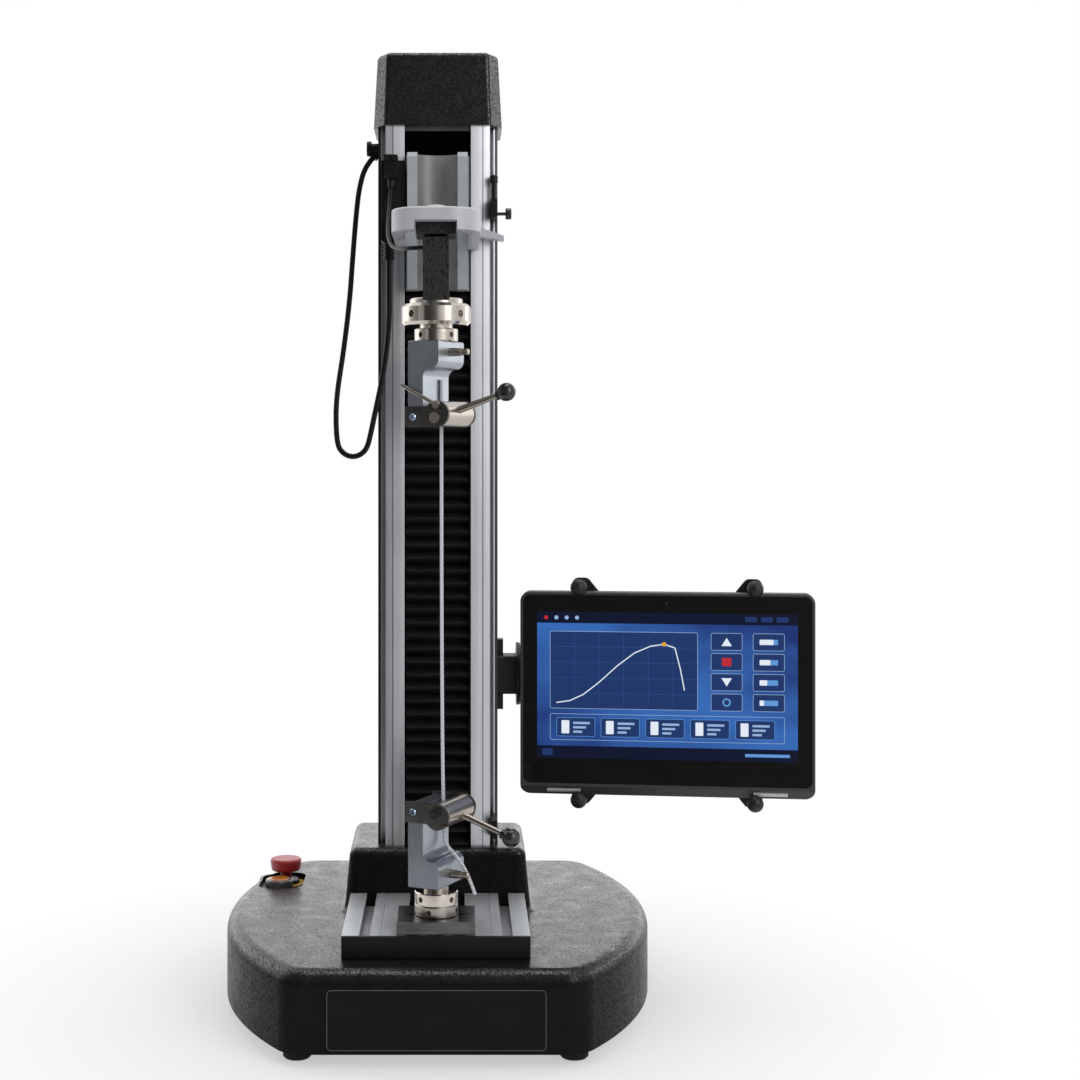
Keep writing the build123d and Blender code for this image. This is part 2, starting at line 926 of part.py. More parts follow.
def cable_relief():
    x, y, z = signal_route[-1]
    relief = post(x, y, z, z + relief_l, relief_d)
    step = relief_l / relief_ribs
    for i in range(relief_ribs):
        rib_z = z + step * (i + 0.3)
        relief = relief + post(x, y, rib_z, rib_z + step / 2, relief_d + 2 * relief_rib)
    half = relief_d / 2
    return relief + box(x - half, x + half, y, conn_y + conn_t, z + relief_l, conn_z)


def lead_plug():
    x, y, z = lead_route[0]
    front = conn_y - plug_d
    plug = box(x - plug_w / 2, x + plug_w / 2, front, conn_y, plug_z, plug_z + plug_h)
    plug = fillet(plug.edges().filter_by(Axis.Y), plug_r)
    run = Vector(*lead_route[1]) - Vector(x, y, z)
    start = Vector(x, y, z) - run.normalized() * plug_boot_l
    plug = plug + rod(tuple(start), (x, y, z), plug_boot_d, lead_d + plug_r)
    screw_z = plug_z + plug_h - thread_d
    for side in (-1, 1):
        sx = x + side * (plug_w / 2 - thread_d * 0.7)
        plug = plug + rod((sx, front - thread_d, screw_z), (sx, conn_y, screw_z), thread_d)
    return plug


# Grips


def grip_place(which):
    if which == "upper":
        return Pos(0, 0, upper_seat) * Rot(0, 0, grip_turn)
    return Pos(0, 0, lower_seat) * Rot(0, 0, grip_turn) * Rot(180, 0, 0)


def pin_hole():
    start = -grip_half - 1
    return rod((start, 0, -pin_z), (grip_half + 1, 0, -pin_z), pin_d + 2 * run_gap)


def grip_body():
    # The step from the spigot block to the jaw is an S of two quarter arcs
    r = (grip_half - jaw_u) / 2
    mid = grip_half - r
    s = r * math.sqrt(0.5)
    lines = [
        Line((jaw_u, -grip_h), (-grip_half, -grip_h)),
        Line((-grip_half, -grip_h), (-grip_half, 0)),
        Line((-grip_half, 0), (grip_half, 0)),
        Line((grip_half, 0), (grip_half, -step_z)),
        ThreePointArc((grip_half, -step_z), (mid + s, -step_z - s), (mid, -step_z - r)),
        ThreePointArc((mid, -step_z - r), (mid - s, -step_z - 2 * r + s), (jaw_u, -step_z - 2 * r)),
        Line((jaw_u, -step_z - 2 * r), (jaw_u, -grip_h)),
    ]
    plane = Plane(origin=(0, 0, 0), x_dir=(1, 0, 0), z_dir=(0, -1, 0))
    body = extrude(plane * make_face(lines), grip_len / 2, both=True)
    body = chamfer(body.faces().sort_by(Axis.Z)[-1].edges(), 0.8)
    bore = post(0, 0, -spigot_in - 1, 0, spigot_d + 2 * run_gap)
    return body - bore - pin_hole()


def grip_plates():
    pieces = []
    pivot = (roller_u + pivot_du, -roller_z + pivot_dz)
    low = -roller_z - roller_d / 2 - free_gap
    for side in (-1, 1):
        v = side * (grip_len / 2 + side_plate_t / 2)
        plate = Pos(0, v, 0) * box(
            -side_plate_out, roller_u, -side_plate_t / 2, side_plate_t / 2, low, low + side_plate_h
        )
        disc = Pos(roller_u, v, -roller_z) * Rot(90, 0, 0) * Cylinder(roller_d / 2 + free_gap, side_plate_t)
        plate = plate + disc
        hole = Pos(pivot[0], v, pivot[1]) * Rot(90, 0, 0) * Cylinder(pivot_d / 2, 2 * side_plate_t)
        pieces.append(plate - hole)
    out = grip_len / 2 + side_plate_t
    pin = rod((pivot[0], -out, pivot[1]), (pivot[0], out, pivot[1]), pivot_d)
    for side in (-1, 1):
        under_head = (pivot[0], side * out, pivot[1])
        head_face = (pivot[0], side * (out + pivot_head_t), pivot[1])
        pin = pin + rod(under_head, head_face, pivot_head_d)
    pieces.append(pin)
    pieces.append(trip_rod(out))
    return pieces


def trip_rod(out):
    # Thin rod that stands on the front side plate, above the pivot
    u0 = roller_u + 1
    z0 = -roller_z + roller_d / 2 - trip_boss_d / 2
    boss = rod((u0, -out, z0), (u0, -out - trip_boss_t, z0), trip_boss_d)
    a = math.radians(trip_rod_angle)
    v = -out - trip_boss_t / 2
    end = (u0 + trip_rod_l * math.cos(a), v, z0 + trip_rod_l * math.sin(a))
    return boss + rod((u0, v, z0), end, trip_rod_d)


def grip_roller():
    half = grip_len / 2 - free_gap
    body = rod((roller_u, -half, -roller_z), (roller_u, half, -roller_z), roller_d)
    body = chamfer(body.edges().filter_by(GeomType.CIRCLE), 0.6)
    u = roller_u + pivot_du
    z = -roller_z + pivot_dz
    body = body - rod((u, -half, z), (u, half, z), pivot_d + 2 * run_gap)
    return body - rod(lever_point(roller_d / 4 + 2), lever_point(roller_d), lever_d)


def lever_point(reach):
    a = math.radians(lever_angle)
    return (roller_u + reach * math.cos(a), lever_v, -roller_z + reach * math.sin(a))


def grip_lever():
    stem = rod(lever_point(roller_d / 4 + 2), lever_point(roller_d / 2 + 4), lever_d)
    taper = rod(lever_point(roller_d / 2 + 4), lever_point(lever_l - knob_d / 2 + 1), lever_d, lever_tip_d)
    ball = Pos(*lever_point(lever_l)) * Sphere(knob_d / 2)
    neck = rod(lever_point(lever_l - knob_d / 2 - 1.5), lever_point(lever_l), knob_neck_d)
    return [stem + taper - ball - neck, ball + neck]


def clevis_pin():
    z = -pin_z
    shank = rod((-pin_far, 0, z), (grip_half + free_gap, 0, z), pin_d)
    head_end = grip_half + free_gap + pin_head_l
    head = rod((grip_half + free_gap, 0, z), (head_end, 0, z), pin_head_d, pin_head_d - 1)
    tip = rod((head_end, 0, z), (head_end + pin_tip_l, 0, z), pin_d)
    tip = fillet(tip.edges().filter_by(GeomType.CIRCLE).sort_by(Axis.X)[-1:], pin_d / 3)
    return shank + head + tip


# Controls


panel_z = base_top - panel_sink
panel_top = panel_z + panel_plate_t


def control_panel():
    plate = control_pocket(-free_gap, panel_z, panel_top)
    for x, y in (start_at, stop_at):
        plate = plate - post(x, y, panel_z, panel_top, button_hole_d)
    return plate


def start_bezel():
    x, y = start_at
    bezel = post(x, y, panel_top, panel_top + bezel_h, bezel_d)
    bezel = fillet(bezel.edges().sort_by(Axis.Z)[-1:], 2)
    barrel = post(x, y, panel_z - barrel_l, panel_top + 1, barrel_d)
    bore = lens_d + 2 * run_gap
    well = post(x, y, panel_top - start_travel, panel_top + bezel_h, bore)
    return bezel + barrel - well


def start_button():
    x, y = start_at
    top = panel_top + bezel_h + lens_over
    lens = post(x, y, panel_top + 1, top, lens_d)
    return fillet(lens.edges().sort_by(Axis.Z)[-1:], 2)


def estop_body():
    x, y = stop_at
    collar = post(x, y, panel_top, panel_top + stop_collar_h, stop_collar_d)
    collar = chamfer(collar.edges().sort_by(Axis.Z)[-1:], 1)
    barrel = post(x, y, panel_z - barrel_l, panel_top + 1, barrel_d)
    block = Pos(x, y, panel_z - barrel_l - 8) * Box(30, 30, 16)
    bore = post(x, y, panel_z - barrel_l, panel_top + stop_collar_h, stop_stem_d + 2 * run_gap)
    return collar + barrel + block - bore


def estop_head():
    x, y = stop_at
    foot = (x, y, stop_head_z)
    head = rod(foot, (x, y, stop_head_z + stop_head_h), stop_head_low_d, stop_head_d)
    head = fillet(head.edges().filter_by(GeomType.CIRCLE), stop_head_r)
    return head + post(x, y, panel_z - barrel_l / 2, stop_head_z + 1, stop_stem_d)


def centred(x, z, w, h, y0, y1):
    return box(x - w / 2, x + w / 2, y0, y1, z - h / 2, z + h / 2)


def power_inlet():
    x, z = inlet_at
    face_y = base_back + inlet_t
    flange = centred(x, z, inlet_w, inlet_h, base_back, face_y)
    flange = fillet(flange.edges().filter_by(Axis.Y), inlet_t)
    inset = 2 * (inlet_t + free_gap)
    body = flange + centred(x, z, inlet_w - inset, inlet_h - inset, base_back - inlet_body, base_back)
    socket_z = z - socket_drop
    cavity = centred(x, socket_z, socket_w, socket_h, face_y - socket_depth, face_y)
    cavity = chamfer(cavity.edges().filter_by(Axis.Y).sort_by(Axis.Z)[-2:], socket_h / 4)
    body = body - cavity
    for dx, dz in socket_pins:
        pin_y = face_y - socket_depth - 1
        body = body + centred(x + dx, socket_z + dz, contact_t, contact_h, pin_y, face_y - inlet_t)
    rocker_z = z + rocker_rise
    w = rocker_w + 2 * free_gap
    body = body - centred(x, rocker_z, w, rocker_h + 2 * rocker_clear, face_y - rocker_depth, face_y)
    pin = rod((x - w / 2 - 1, rocker_y, rocker_z), (x + w / 2 + 1, rocker_y, rocker_z), rocker_pin_d)
    return body + pin


def power_rocker():
    x, z = inlet_at
    rocker_z = z + rocker_rise
    half = rocker_h / 2
    points = [
        (rocker_y - rocker_rear / 3, rocker_z - half + rocker_clear),
        (rocker_y + rocker_rear, rocker_z - half),
        (rocker_y + rocker_rear + rocker_crown, rocker_z),
        (rocker_y + rocker_rear, rocker_z + half),
        (rocker_y - rocker_rear / 3, rocker_z + half - rocker_clear),
        (rocker_y - rocker_rear, rocker_z),
    ]
    body = prism(points, Plane.YZ.offset(x), rocker_w / 2, both=True)
    pivot = Pos(x, rocker_y, rocker_z) * Rot(0, 90, 0) * Cylinder(rocker_pin_d / 2 + run_gap, 2 * rocker_w)
    return body - pivot


# Limit stops


def limit_stop(z, adjuster):
    x0 = lip_half + free_gap
    notch_y = col_front + notch_depth
    body = box(x0, x0 + stop_w, stop_front, notch_y - free_gap, z, z + stop_h)
    body = chamfer(body.edges().filter_by(Axis.Z), 0.8)
    foot_w = groove_w - 2 * free_gap
    body = body + box(x0, x0 + foot_w, notch_y - 1, notch_y + groove_depth - free_gap, z, z + stop_h)
    x1 = x0 + stop_w
    ty = (stop_front + col_front) / 2
    tz = z + thumb_drop
    screw = rod((x1, ty, tz), (x1 + thumb_reach, ty, tz), thumb_stem_d)
    head = rod((x1 + thumb_reach - 1, ty, tz), (x1 + thumb_reach + thumb_t, ty, tz), thumb_d)
    head = fillet(head.edges().filter_by(GeomType.CIRCLE), 1.2)
    pieces = [body, screw + head]
    if adjuster:
        top = z + stop_h
        stem = post(x0 + stop_w / 2, ty, top, top + adjuster_l, adjuster_d)
        head_z = top + adjuster_l
        knob = post(x0 + stop_w / 2, ty, head_z, head_z + adjuster_head_d, adjuster_head_d)
        pieces.append(stem + fillet(knob.edges().sort_by(Axis.Z)[-1:], 1.5))
    return pieces


# Tablet, cradle and arm. Local frame: x across the screen, y into it, z up, origin on the glass.


def tablet_place():
    return Pos(*tablet_at) * Rot(0, 0, tablet_turn)


def tablet_slab(y0, y1, inset):
    face = RectangleRounded(tablet_w - 2 * inset, tablet_h - 2 * inset, tablet_r - inset)
    plane = Plane(origin=(0, y1, 0), x_dir=(1, 0, 0), z_dir=(0, -1, 0))
    return extrude(plane * face, y1 - y0)


def tablet_shell():
    body = tablet_slab(0, tablet_t, 0)
    body = fillet(body.faces().sort_by(Axis.Y)[0].edges(), 2)
    body = fillet(body.faces().sort_by(Axis.Y)[-1].edges(), 4)
    band = tablet_slab(tablet_split - tablet_groove / 2, tablet_split + tablet_groove / 2, 0)
    band = band - tablet_slab(tablet_split - tablet_groove, tablet_split + tablet_groove, tablet_groove)
    low = -tablet_h / 2
    chin = [(-1, low - 1), (chin_deep, low - 1), (chin_deep, low), (0, low + chin_h), (-1, low + chin_h)]
    body = body - band - glass_slab(-1, 0) - prism(chin, Plane.YZ, tablet_w, both=True)
    for side in (-1, 1):
        body = body - hinge_bar(side, hinge_d + 2 * free_gap, hinge_l + 2 * free_gap)
    return body


def hinge_bar(side, d, length):
    x = side * hinge_x
    y, rise = hinge_in
    z = rise - tablet_h / 2
    return rod((x - length / 2, y, z), (x + length / 2, y, z), d)


def tablet_hinges():
    bars = []
    for side in (-1, 1):
        bars.append(hinge_bar(side, hinge_d, hinge_l + 2 * free_gap))
    return bars


def glass_slab(y0, gap):
    # The cover glass ends above the chin
    wide = tablet_w - 2 * (tablet_rim + gap)
    high = tablet_h - tablet_rim - chin_h - tablet_rim - 2 * gap
    face = Pos(0, chin_h / 2) * RectangleRounded(wide, high, tablet_r - tablet_rim)
    plane = Plane(origin=(0, glass_t, 0), x_dir=(1, 0, 0), z_dir=(0, -1, 0))
    return extrude(plane * face, glass_t - y0)


def tablet_glass():
    return glass_slab(0, free_gap)


jaw_y = tablet_t + free_gap
hub_y = jaw_y + finger_back + jaw_t
finger_z = tablet_h / 2 + finger_groove_d / 2 + free_gap


def finger(x, z):
    y0 = jaw_y + finger_back
    tip = (0, -free_gap - finger_front)
    rim = (finger_d / 2, -free_gap)
    dome = RadiusArc(rim, tip, (finger_front**2 + finger_d**2 / 4) / (2 * finger_front))
    profile = make_face(
        [
            Line((0, y0), (finger_d / 2 - 1, y0)),
            Line((finger_d / 2 - 1, y0), (finger_d / 2 - 1, jaw_y)),
            Line((finger_d / 2 - 1, jaw_y), (finger_groove_d / 2, jaw_y)),
            Line((finger_groove_d / 2, jaw_y), (finger_groove_d / 2, -free_gap)),
            Line((finger_groove_d / 2, -free_gap), (finger_d / 2, -free_gap)),
            dome,
            Line(tip, (0, y0)),
        ]
    )
    return Pos(x, 0, z) * revolve(profile, Axis.Y)


def cradle_jaw(up):
    y0 = jaw_y + finger_back
    pieces = []
    root_z = jaw_gap / 2 + jaw_arm_w / 2
    pad = jaw_root_w / 2
    half = jaw_arm_w / 2
    points = [
        (-pad, jaw_gap / 2),
        (pad, jaw_gap / 2),
        (finger_x + half, finger_z - half),
        (finger_x + half, finger_z + half),
        (finger_x - half, finger_z + half),
        (pad - half, root_z + 2 * half),
        (half - pad, root_z + 2 * half),
        (half - finger_x, finger_z + half),
        (-finger_x - half, finger_z + half),
        (-finger_x - half, finger_z - half),
    ]
    plane = Plane(origin=(0, y0 + jaw_t, 0), x_dir=(1, 0, 0), z_dir=(0, -1, 0))
    plate = prism(points, plane, jaw_t)
    plate = fillet(plate.edges().filter_by(Axis.Y).sort_by(Axis.Z)[-4:], half - 1)
    pieces.append(plate)
    for side in (-1, 1):
        pieces.append(finger(side * finger_x, finger_z))
    if not up:
        pieces = [Rot(0, 180, 0) * piece for piece in pieces]
    return [tablet_place() * piece for piece in pieces]


def ball_two():
    return Vector(tablet_at[0], arm_y, mount_z)


def cradle_hub():
    place = tablet_place()
    plate = Pos(0, hub_y + hub_t / 2, 0) * Rot(90, 0, 0) * Cylinder(hub_d / 2, hub_t)
    plate = fillet(plate.edges().filter_by(GeomType.CIRCLE).sort_by(Axis.Y)[-1:], 1.5)
    body = place * plate
    end = ball_two()
    root = place * Pos(0, hub_y + hub_t / 2, mount_z - tablet_at[2])
    start = root.position
    body = body + rod(tuple(start), tuple(end), stud_d)
    return body + Pos(*tuple(end)) * Sphere(ball_d / 2)


def tablet_bracket():
    x0 = col_half
    x1 = x0 + mount_block_w
    half_d = mount_block_d / 2
    half_h = mount_block_h / 2
    block = box(x0, x1, arm_y - half_d, arm_y + half_d, mount_z - half_h, mount_z + half_h)
    block = fillet(block.edges().filter_by(Axis.X), 3)
    ear_h = mount_block_h + 2 * mount_ear
    ears = Pos(x0 + mount_ear_t / 2, arm_y, mount_z) * Box(mount_ear_t, half_d, ear_h)
    key_w = side_slot_w - 2 * free_gap
    key = Pos(x0 - side_slot_lip / 2, arm_y, mount_z) * Box(side_slot_lip, key_w, mount_block_h)
    return block + ears + key


def arm_base():
    x0 = col_half + mount_block_w
    plate = rod((x0, arm_y, mount_z), (x0 + round_plate_t, arm_y, mount_z), round_plate_d)
    plate = fillet(plate.edges().filter_by(GeomType.CIRCLE).sort_by(Axis.X)[-1:], 1.5)
    stem = rod((x0 + round_plate_t / 2, arm_y, mount_z), (ball_one_x, arm_y, mount_z), stud_d + 3)
    return plate + stem + Pos(ball_one_x, arm_y, mount_z) * Sphere(ball_d / 2)


def support_arm():
    # Two clamping halves, above and below the balls
    end = ball_two()
    halves = []
    for side in (-1, 1):
        z0 = mount_z + side * arm_rim
        z1 = mount_z + side * arm_crown
        mid = (ball_one_x + end.X) / 2
        length = end.X - ball_one_x
        face = SlotCenterToCenter(length, arm_w)
        body = extrude(Pos(mid, arm_y, min(z0, z1)) * face, abs(z1 - z0))
        crown = body.faces().sort_by(Axis.Z)[-1 if side > 0 else 0]
        body = fillet(crown.edges(), 5)
        for x in (ball_one_x, end.X):
            body = body - Pos(x, arm_y, mount_z) * Sphere(ball_d / 2 + ball_gap)
            body = body - rod((x - arm_w, arm_y, mount_z), (x + arm_w, arm_y, mount_z), arm_mouth_d)
        front = Pos(end.X, arm_y - arm_w / 2, mount_z)
        body = body - front * Box(2 * stud_d, arm_w / 2, 4 * arm_crown)
        body = body - Pos(mid, arm_y, mount_z) * Cylinder(arm_bolt_d / 2 + run_gap, 4 * arm_crown)
        halves.append(body)
    return halves


def arm_knob():
    mid = (ball_one_x + tablet_at[0]) / 2
    low = mount_z - arm_crown
    bolt = post(mid, arm_y, low - 1, mount_z + arm_crown, arm_bolt_d)
    head = post(mid, arm_y, mount_z + arm_crown, mount_z + arm_crown + 5, arm_bolt_d + 6)
    face = Circle(arm_knob_d / 2)
    for i in range(knob_lobes):
        flute = Pos(arm_knob_d * 0.56, 0) * Circle(arm_knob_d / 6)
        face -= Rot(0, 0, 360 / knob_lobes * i) * flute
    grip = extrude(Pos(mid, arm_y, low - arm_knob_h) * face, arm_knob_h)
    return bolt + head + grip


# Cords: routes chosen from the photograph. The signal cable's depth is from the column's front, the lead's is a
# share of the way from the cell to its plug, and their heights are from the carriage's foot.

signal_bends = [
    (-67, 50, 141),
    (-75, 48, 132),
    (-81, 45, 110),
    (-84, 42, 83),
    (-87, 36, 41),
    (-90, 28, -9),
    (-96, 20, -62),
    (-101, 15, -95),
    (-103, 12, -119),
    (-102.5, 10, -141.5),
    (-100.9, 9, -155),
    (-97.7, 8, -161),
    (-92.2, 7, -165.4),
    (-85.5, 6, -167),
    (-78.8, 5, -165.4),
    (-73.3, 4, -161),
    (-70.1, 3, -155),
    (-67, 1.5, -142),
    (-62, -2, -119),
    (-56, -7, -92),
    (-51, -13, -62),
    (-48, -19, -31),
    (-48, -27, -2),
    (-48, -27, 28),
]
lead_bends = [
    (-46, 1, 99),
    (-46.5, 0.964, 87),
    (-48, 0.827, 65),
    (-47.5, 0.645, 47),
    (-44, 0.464, 36.5),
    (-38, 0.291, 31.5),
    (-31, 0.145, 29.5),
    (-23, 0.045, 29),
    (-12, 0, 29),
]
specimen_route = [
    (specimen_u, upper_seat - 35),
    (specimen_u, lower_seat + 43),
    (9, lower_seat + 31),
    (20, lower_seat + 22),
    (30, lower_seat + 6),
    (36, lower_seat - 9),
]
lead_end = 8
lead_ahead = 9
lead_run = conn_y - lead_ahead - lead_end
signal_route = [(x, col_front + y, car_z + z) for x, y, z in signal_bends]
lead_route = [(x, lead_end + lead_run * share, car_z + z) for x, share, z in lead_bends]


def signal_cable():
    return cord(signal_route, cable_d, "signal_cable")


def cell_lead():
    return cord(lead_route, lead_d, "cell_lead")


def test_specimen():
    a = math.radians(grip_turn)
    points = []
    for u, z in specimen_route:
        x = u * math.cos(a) - specimen_v * math.sin(a)
        y = u * math.sin(a) + specimen_v * math.cos(a)
        points.append((x, y, z))
    return cord(points, specimen_d, "test_specimen")


def placed_grip(which):
    place = grip_place(which)
    made = {
        "grip_body": grip_body(),
        "grip_plates": grip_plates(),
        "roller": grip_roller(),
        "lever": grip_lever(),
        "clevis_pin": clevis_pin(),
    }
    out = {}
    for name, shape in made.items():
        pieces = shape if isinstance(shape, list) else [shape]
        out[which + "_" + name] = [place * piece for piece in pieces]
    return out


nodes = {
    "base_housing": base_housing(),
    "base_plate": base_plate(),
    "rubber_feet": rubber_feet(),
    "work_table": work_table(),
    "table_end_cap": table_end_cap(),
    "adapter_plate": adapter_plate(),
    "lower_adapter": lower_adapter(),
    "lower_lock_ring": lower_lock_ring(),
    "column": column(),
    "top_cap": top_cap(),
    "guide_rails": guide_rails(),
    "screw_bearings": screw_bearings(),
    "drive_motor": drive_motor(),
    "shaft_coupling": shaft_coupling(),
    "drive_screw": drive_screw(),
    "control_board": control_board(),
    "lower_bellows": bellows(low_bearing_z + bearing_h, car_z, lower_pleats),
    "upper_bellows": bellows(car_top, high_bearing_z, upper_pleats),
    "cable_gland": cable_gland(),
    "carriage": carriage(),
    "guide_blocks": guide_blocks(),
    "screw_nut": screw_nut(),
    "yoke": yoke(),
    "cell_bolt": cell_bolt(),
    "load_cell": load_cell(),
    "upper_adapter": upper_adapter(),
    "adapter_collar": adapter_collar(),
    "upper_lock_ring": upper_lock_ring(),
    "connector_housing": connector_housing(),
    "control_panel": control_panel(),
    "start_bezel": start_bezel(),
    "start_button": start_button(),
    "estop_body": estop_body(),
    "estop_head": estop_head(),
    "power_inlet": power_inlet(),
    "power_rocker": power_rocker(),
    "upper_stop": limit_stop(upper_stop_z, True),
    "lower_stop": limit_stop(lower_stop_z, False),
    "arm_base": [tablet_bracket(), arm_base()],
    "support_arm": support_arm(),
    "arm_knob": arm_knob(),
    "cradle_hub": cradle_hub(),
    "upper_jaw": cradle_jaw(True),
    "lower_jaw": cradle_jaw(False),
    "tablet_shell": tablet_place() * tablet_shell(),
    "tablet_glass": tablet_place() * tablet_glass(),
    "tablet_hinges": [tablet_place() * bar for bar in tablet_hinges()],
    "signal_cable": signal_cable(),
    "cell_lead": cell_lead(),
    "test_specimen": test_specimen(),
}
nodes.update(placed_grip("upper"))
nodes.update(placed_grip("lower"))

os.makedirs("parts", exist_ok=True)
for name, shape in nodes.items():
    pieces = shape if isinstance(shape, list) else [shape]
    solids = [solid for piece in pieces for solid in piece.solids()]
    export_step(solids[0] if len(solids) == 1 else Compound(children=solids), "parts/" + name + ".step")
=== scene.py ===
import math

import bmesh
import bpy
from mathutils import Matrix, Vector


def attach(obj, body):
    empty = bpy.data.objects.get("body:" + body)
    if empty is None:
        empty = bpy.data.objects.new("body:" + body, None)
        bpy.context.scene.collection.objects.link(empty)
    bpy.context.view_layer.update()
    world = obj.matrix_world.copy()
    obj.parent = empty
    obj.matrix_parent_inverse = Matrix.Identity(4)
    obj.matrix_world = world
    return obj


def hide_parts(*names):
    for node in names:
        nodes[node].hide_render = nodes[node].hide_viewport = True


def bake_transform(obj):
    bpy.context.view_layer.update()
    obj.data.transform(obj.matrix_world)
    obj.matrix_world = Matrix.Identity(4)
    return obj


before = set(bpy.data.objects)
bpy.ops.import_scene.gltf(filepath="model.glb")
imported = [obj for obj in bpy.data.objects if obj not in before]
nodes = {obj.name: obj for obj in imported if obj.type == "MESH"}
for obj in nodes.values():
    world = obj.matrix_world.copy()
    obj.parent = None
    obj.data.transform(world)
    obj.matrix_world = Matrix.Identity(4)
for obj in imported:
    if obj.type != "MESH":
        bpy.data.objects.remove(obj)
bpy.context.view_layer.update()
scene = bpy.context.scene
MM = 0.001


BLACK = (0.0, 0.0, 0.0, 1.0)
PURE_WHITE = (1.0, 1.0, 1.0, 1.0)


def srgb(r, g, b):
    # Screen values 0 to 255 as linear colour
    out = []
    for v in (r, g, b):
        c = v / 255
        out.append(c / 12.92 if c <= 0.04045 else ((c + 0.055) / 1.055) ** 2.4)
    return (*out, 1.0)


def grey(v):
    return srgb(v, v, v)


def mix_colour(a, b, t):
    return tuple(x + (y - x) * t for x, y in zip(a, b))


class Nodes:
    # Helpers that add nodes to one tree
    def __init__(self, tree):
        self.tree = tree

    def node(self, kind, **values):
        made = self.tree.nodes.new(kind)
        for key, value in values.items():
            setattr(made, key, value)
        return made

    def link(self, a, b):
        self.tree.links.new(a, b)

    def put(self, socket, value):
        if isinstance(value, bpy.types.NodeSocket):
            self.link(value, socket)
        else:
            socket.default_value = value

    def math(self, operation, a, b=0.0, c=0.0):
        made = self.node("ShaderNodeMath", operation=operation)
        for socket, value in zip(made.inputs, (a, b, c)):
            self.put(socket, value)
        return made.outputs[0]

    def length(self, a, b):
        squares = self.math("ADD", self.math("MULTIPLY", a, a), self.math("MULTIPLY", b, b))
        return self.math("SQRT", squares)

    def spread(self, value, low, high, out_low, out_high):
        made = self.node("ShaderNodeMapRange")
        for socket, given in zip(made.inputs, (value, low, high, out_low, out_high)):
            self.put(socket, given)
        return made.outputs["Result"]

    def ramp(self, value, stops):
        made = self.node("ShaderNodeValToRGB")
        self.link(value, made.inputs["Fac"])
        elements = made.color_ramp.elements
        while len(elements) < len(stops):
            elements.new(1.0)
        for element, (at, colour) in zip(elements, stops):
            element.position = at
            element.color = colour
        return made.outputs["Color"]

    def mixed(self, share, a, b):
        made = self.node("ShaderNodeMix", data_type="RGBA")
        self.put(made.inputs["Factor"], share)
        self.put(made.inputs[6], a)
        self.put(made.inputs[7], b)
        return made.outputs[2]


class Look(Nodes):
    # One Principled material with its texture nodes, in object coordinates
    def __init__(self, name):
        self.material = bpy.data.materials.new(name)
        self.material.use_nodes = True
        super().__init__(self.material.node_tree)
        self.shader = self.tree.nodes["Principled BSDF"]
        self.place = self.node("ShaderNodeTexCoord").outputs["Object"]
        self.normal = None

    def set(self, **values):
        for key, value in values.items():
            self.put(self.shader.inputs[key.replace("_", " ")], value)

    def scaled(self, cell, place=None):
        # Coordinates in cells: one number, or one per axis, in metres
        cells = cell if isinstance(cell, tuple) else (cell, cell, cell)
        mapping = self.node("ShaderNodeMapping")
        self.link(place or self.place, mapping.inputs["Vector"])
        mapping.inputs["Scale"].default_value = [1 / c for c in cells]
        return mapping.outputs["Vector"]

    def noise(self, cell, detail=3.0, rough=0.5, place=None):
        tex = self.node("ShaderNodeTexNoise")
        self.link(self.scaled(cell, place), tex.inputs["Vector"])
        tex.inputs["Scale"].default_value = 1.0
        tex.inputs["Detail"].default_value = detail
        tex.inputs["Roughness"].default_value = rough
        return tex.outputs["Fac"]

    def pebbles(self, cell):
        tex = self.node("ShaderNodeTexVoronoi", feature="SMOOTH_F1")
        self.link(self.scaled(cell), tex.inputs["Vector"])
        tex.inputs["Scale"].default_value = 1.0
        return tex.outputs["Distance"]

    def axes(self):
        made = self.node("ShaderNodeSeparateXYZ")
        self.link(self.place, made.inputs[0])
        return made.outputs

    def facing_up(self):
        made = self.node("ShaderNodeSeparateXYZ")
        self.link(self.node("ShaderNodeNewGeometry").outputs["Normal"], made.inputs[0])
        return made.outputs[2]

    def soften(self, radius):
        # Rounded look on sharp edges
        made = self.node("ShaderNodeBevel", samples=4)
        made.inputs["Radius"].default_value = radius
        self.normal = made.outputs[0]

    def bump(self, height, depth):
        made = self.node("ShaderNodeBump")
        made.inputs["Strength"].default_value = 1.0
        made.inputs["Distance"].default_value = depth
        self.link(height, made.inputs["Height"])
        if self.normal is not None:
            self.link(self.normal, made.inputs["Normal"])
        self.normal = made.outputs["Normal"]

    def done(self):
        if self.normal is not None:
            self.link(self.normal, self.shader.inputs["Normal"])
        return self.material


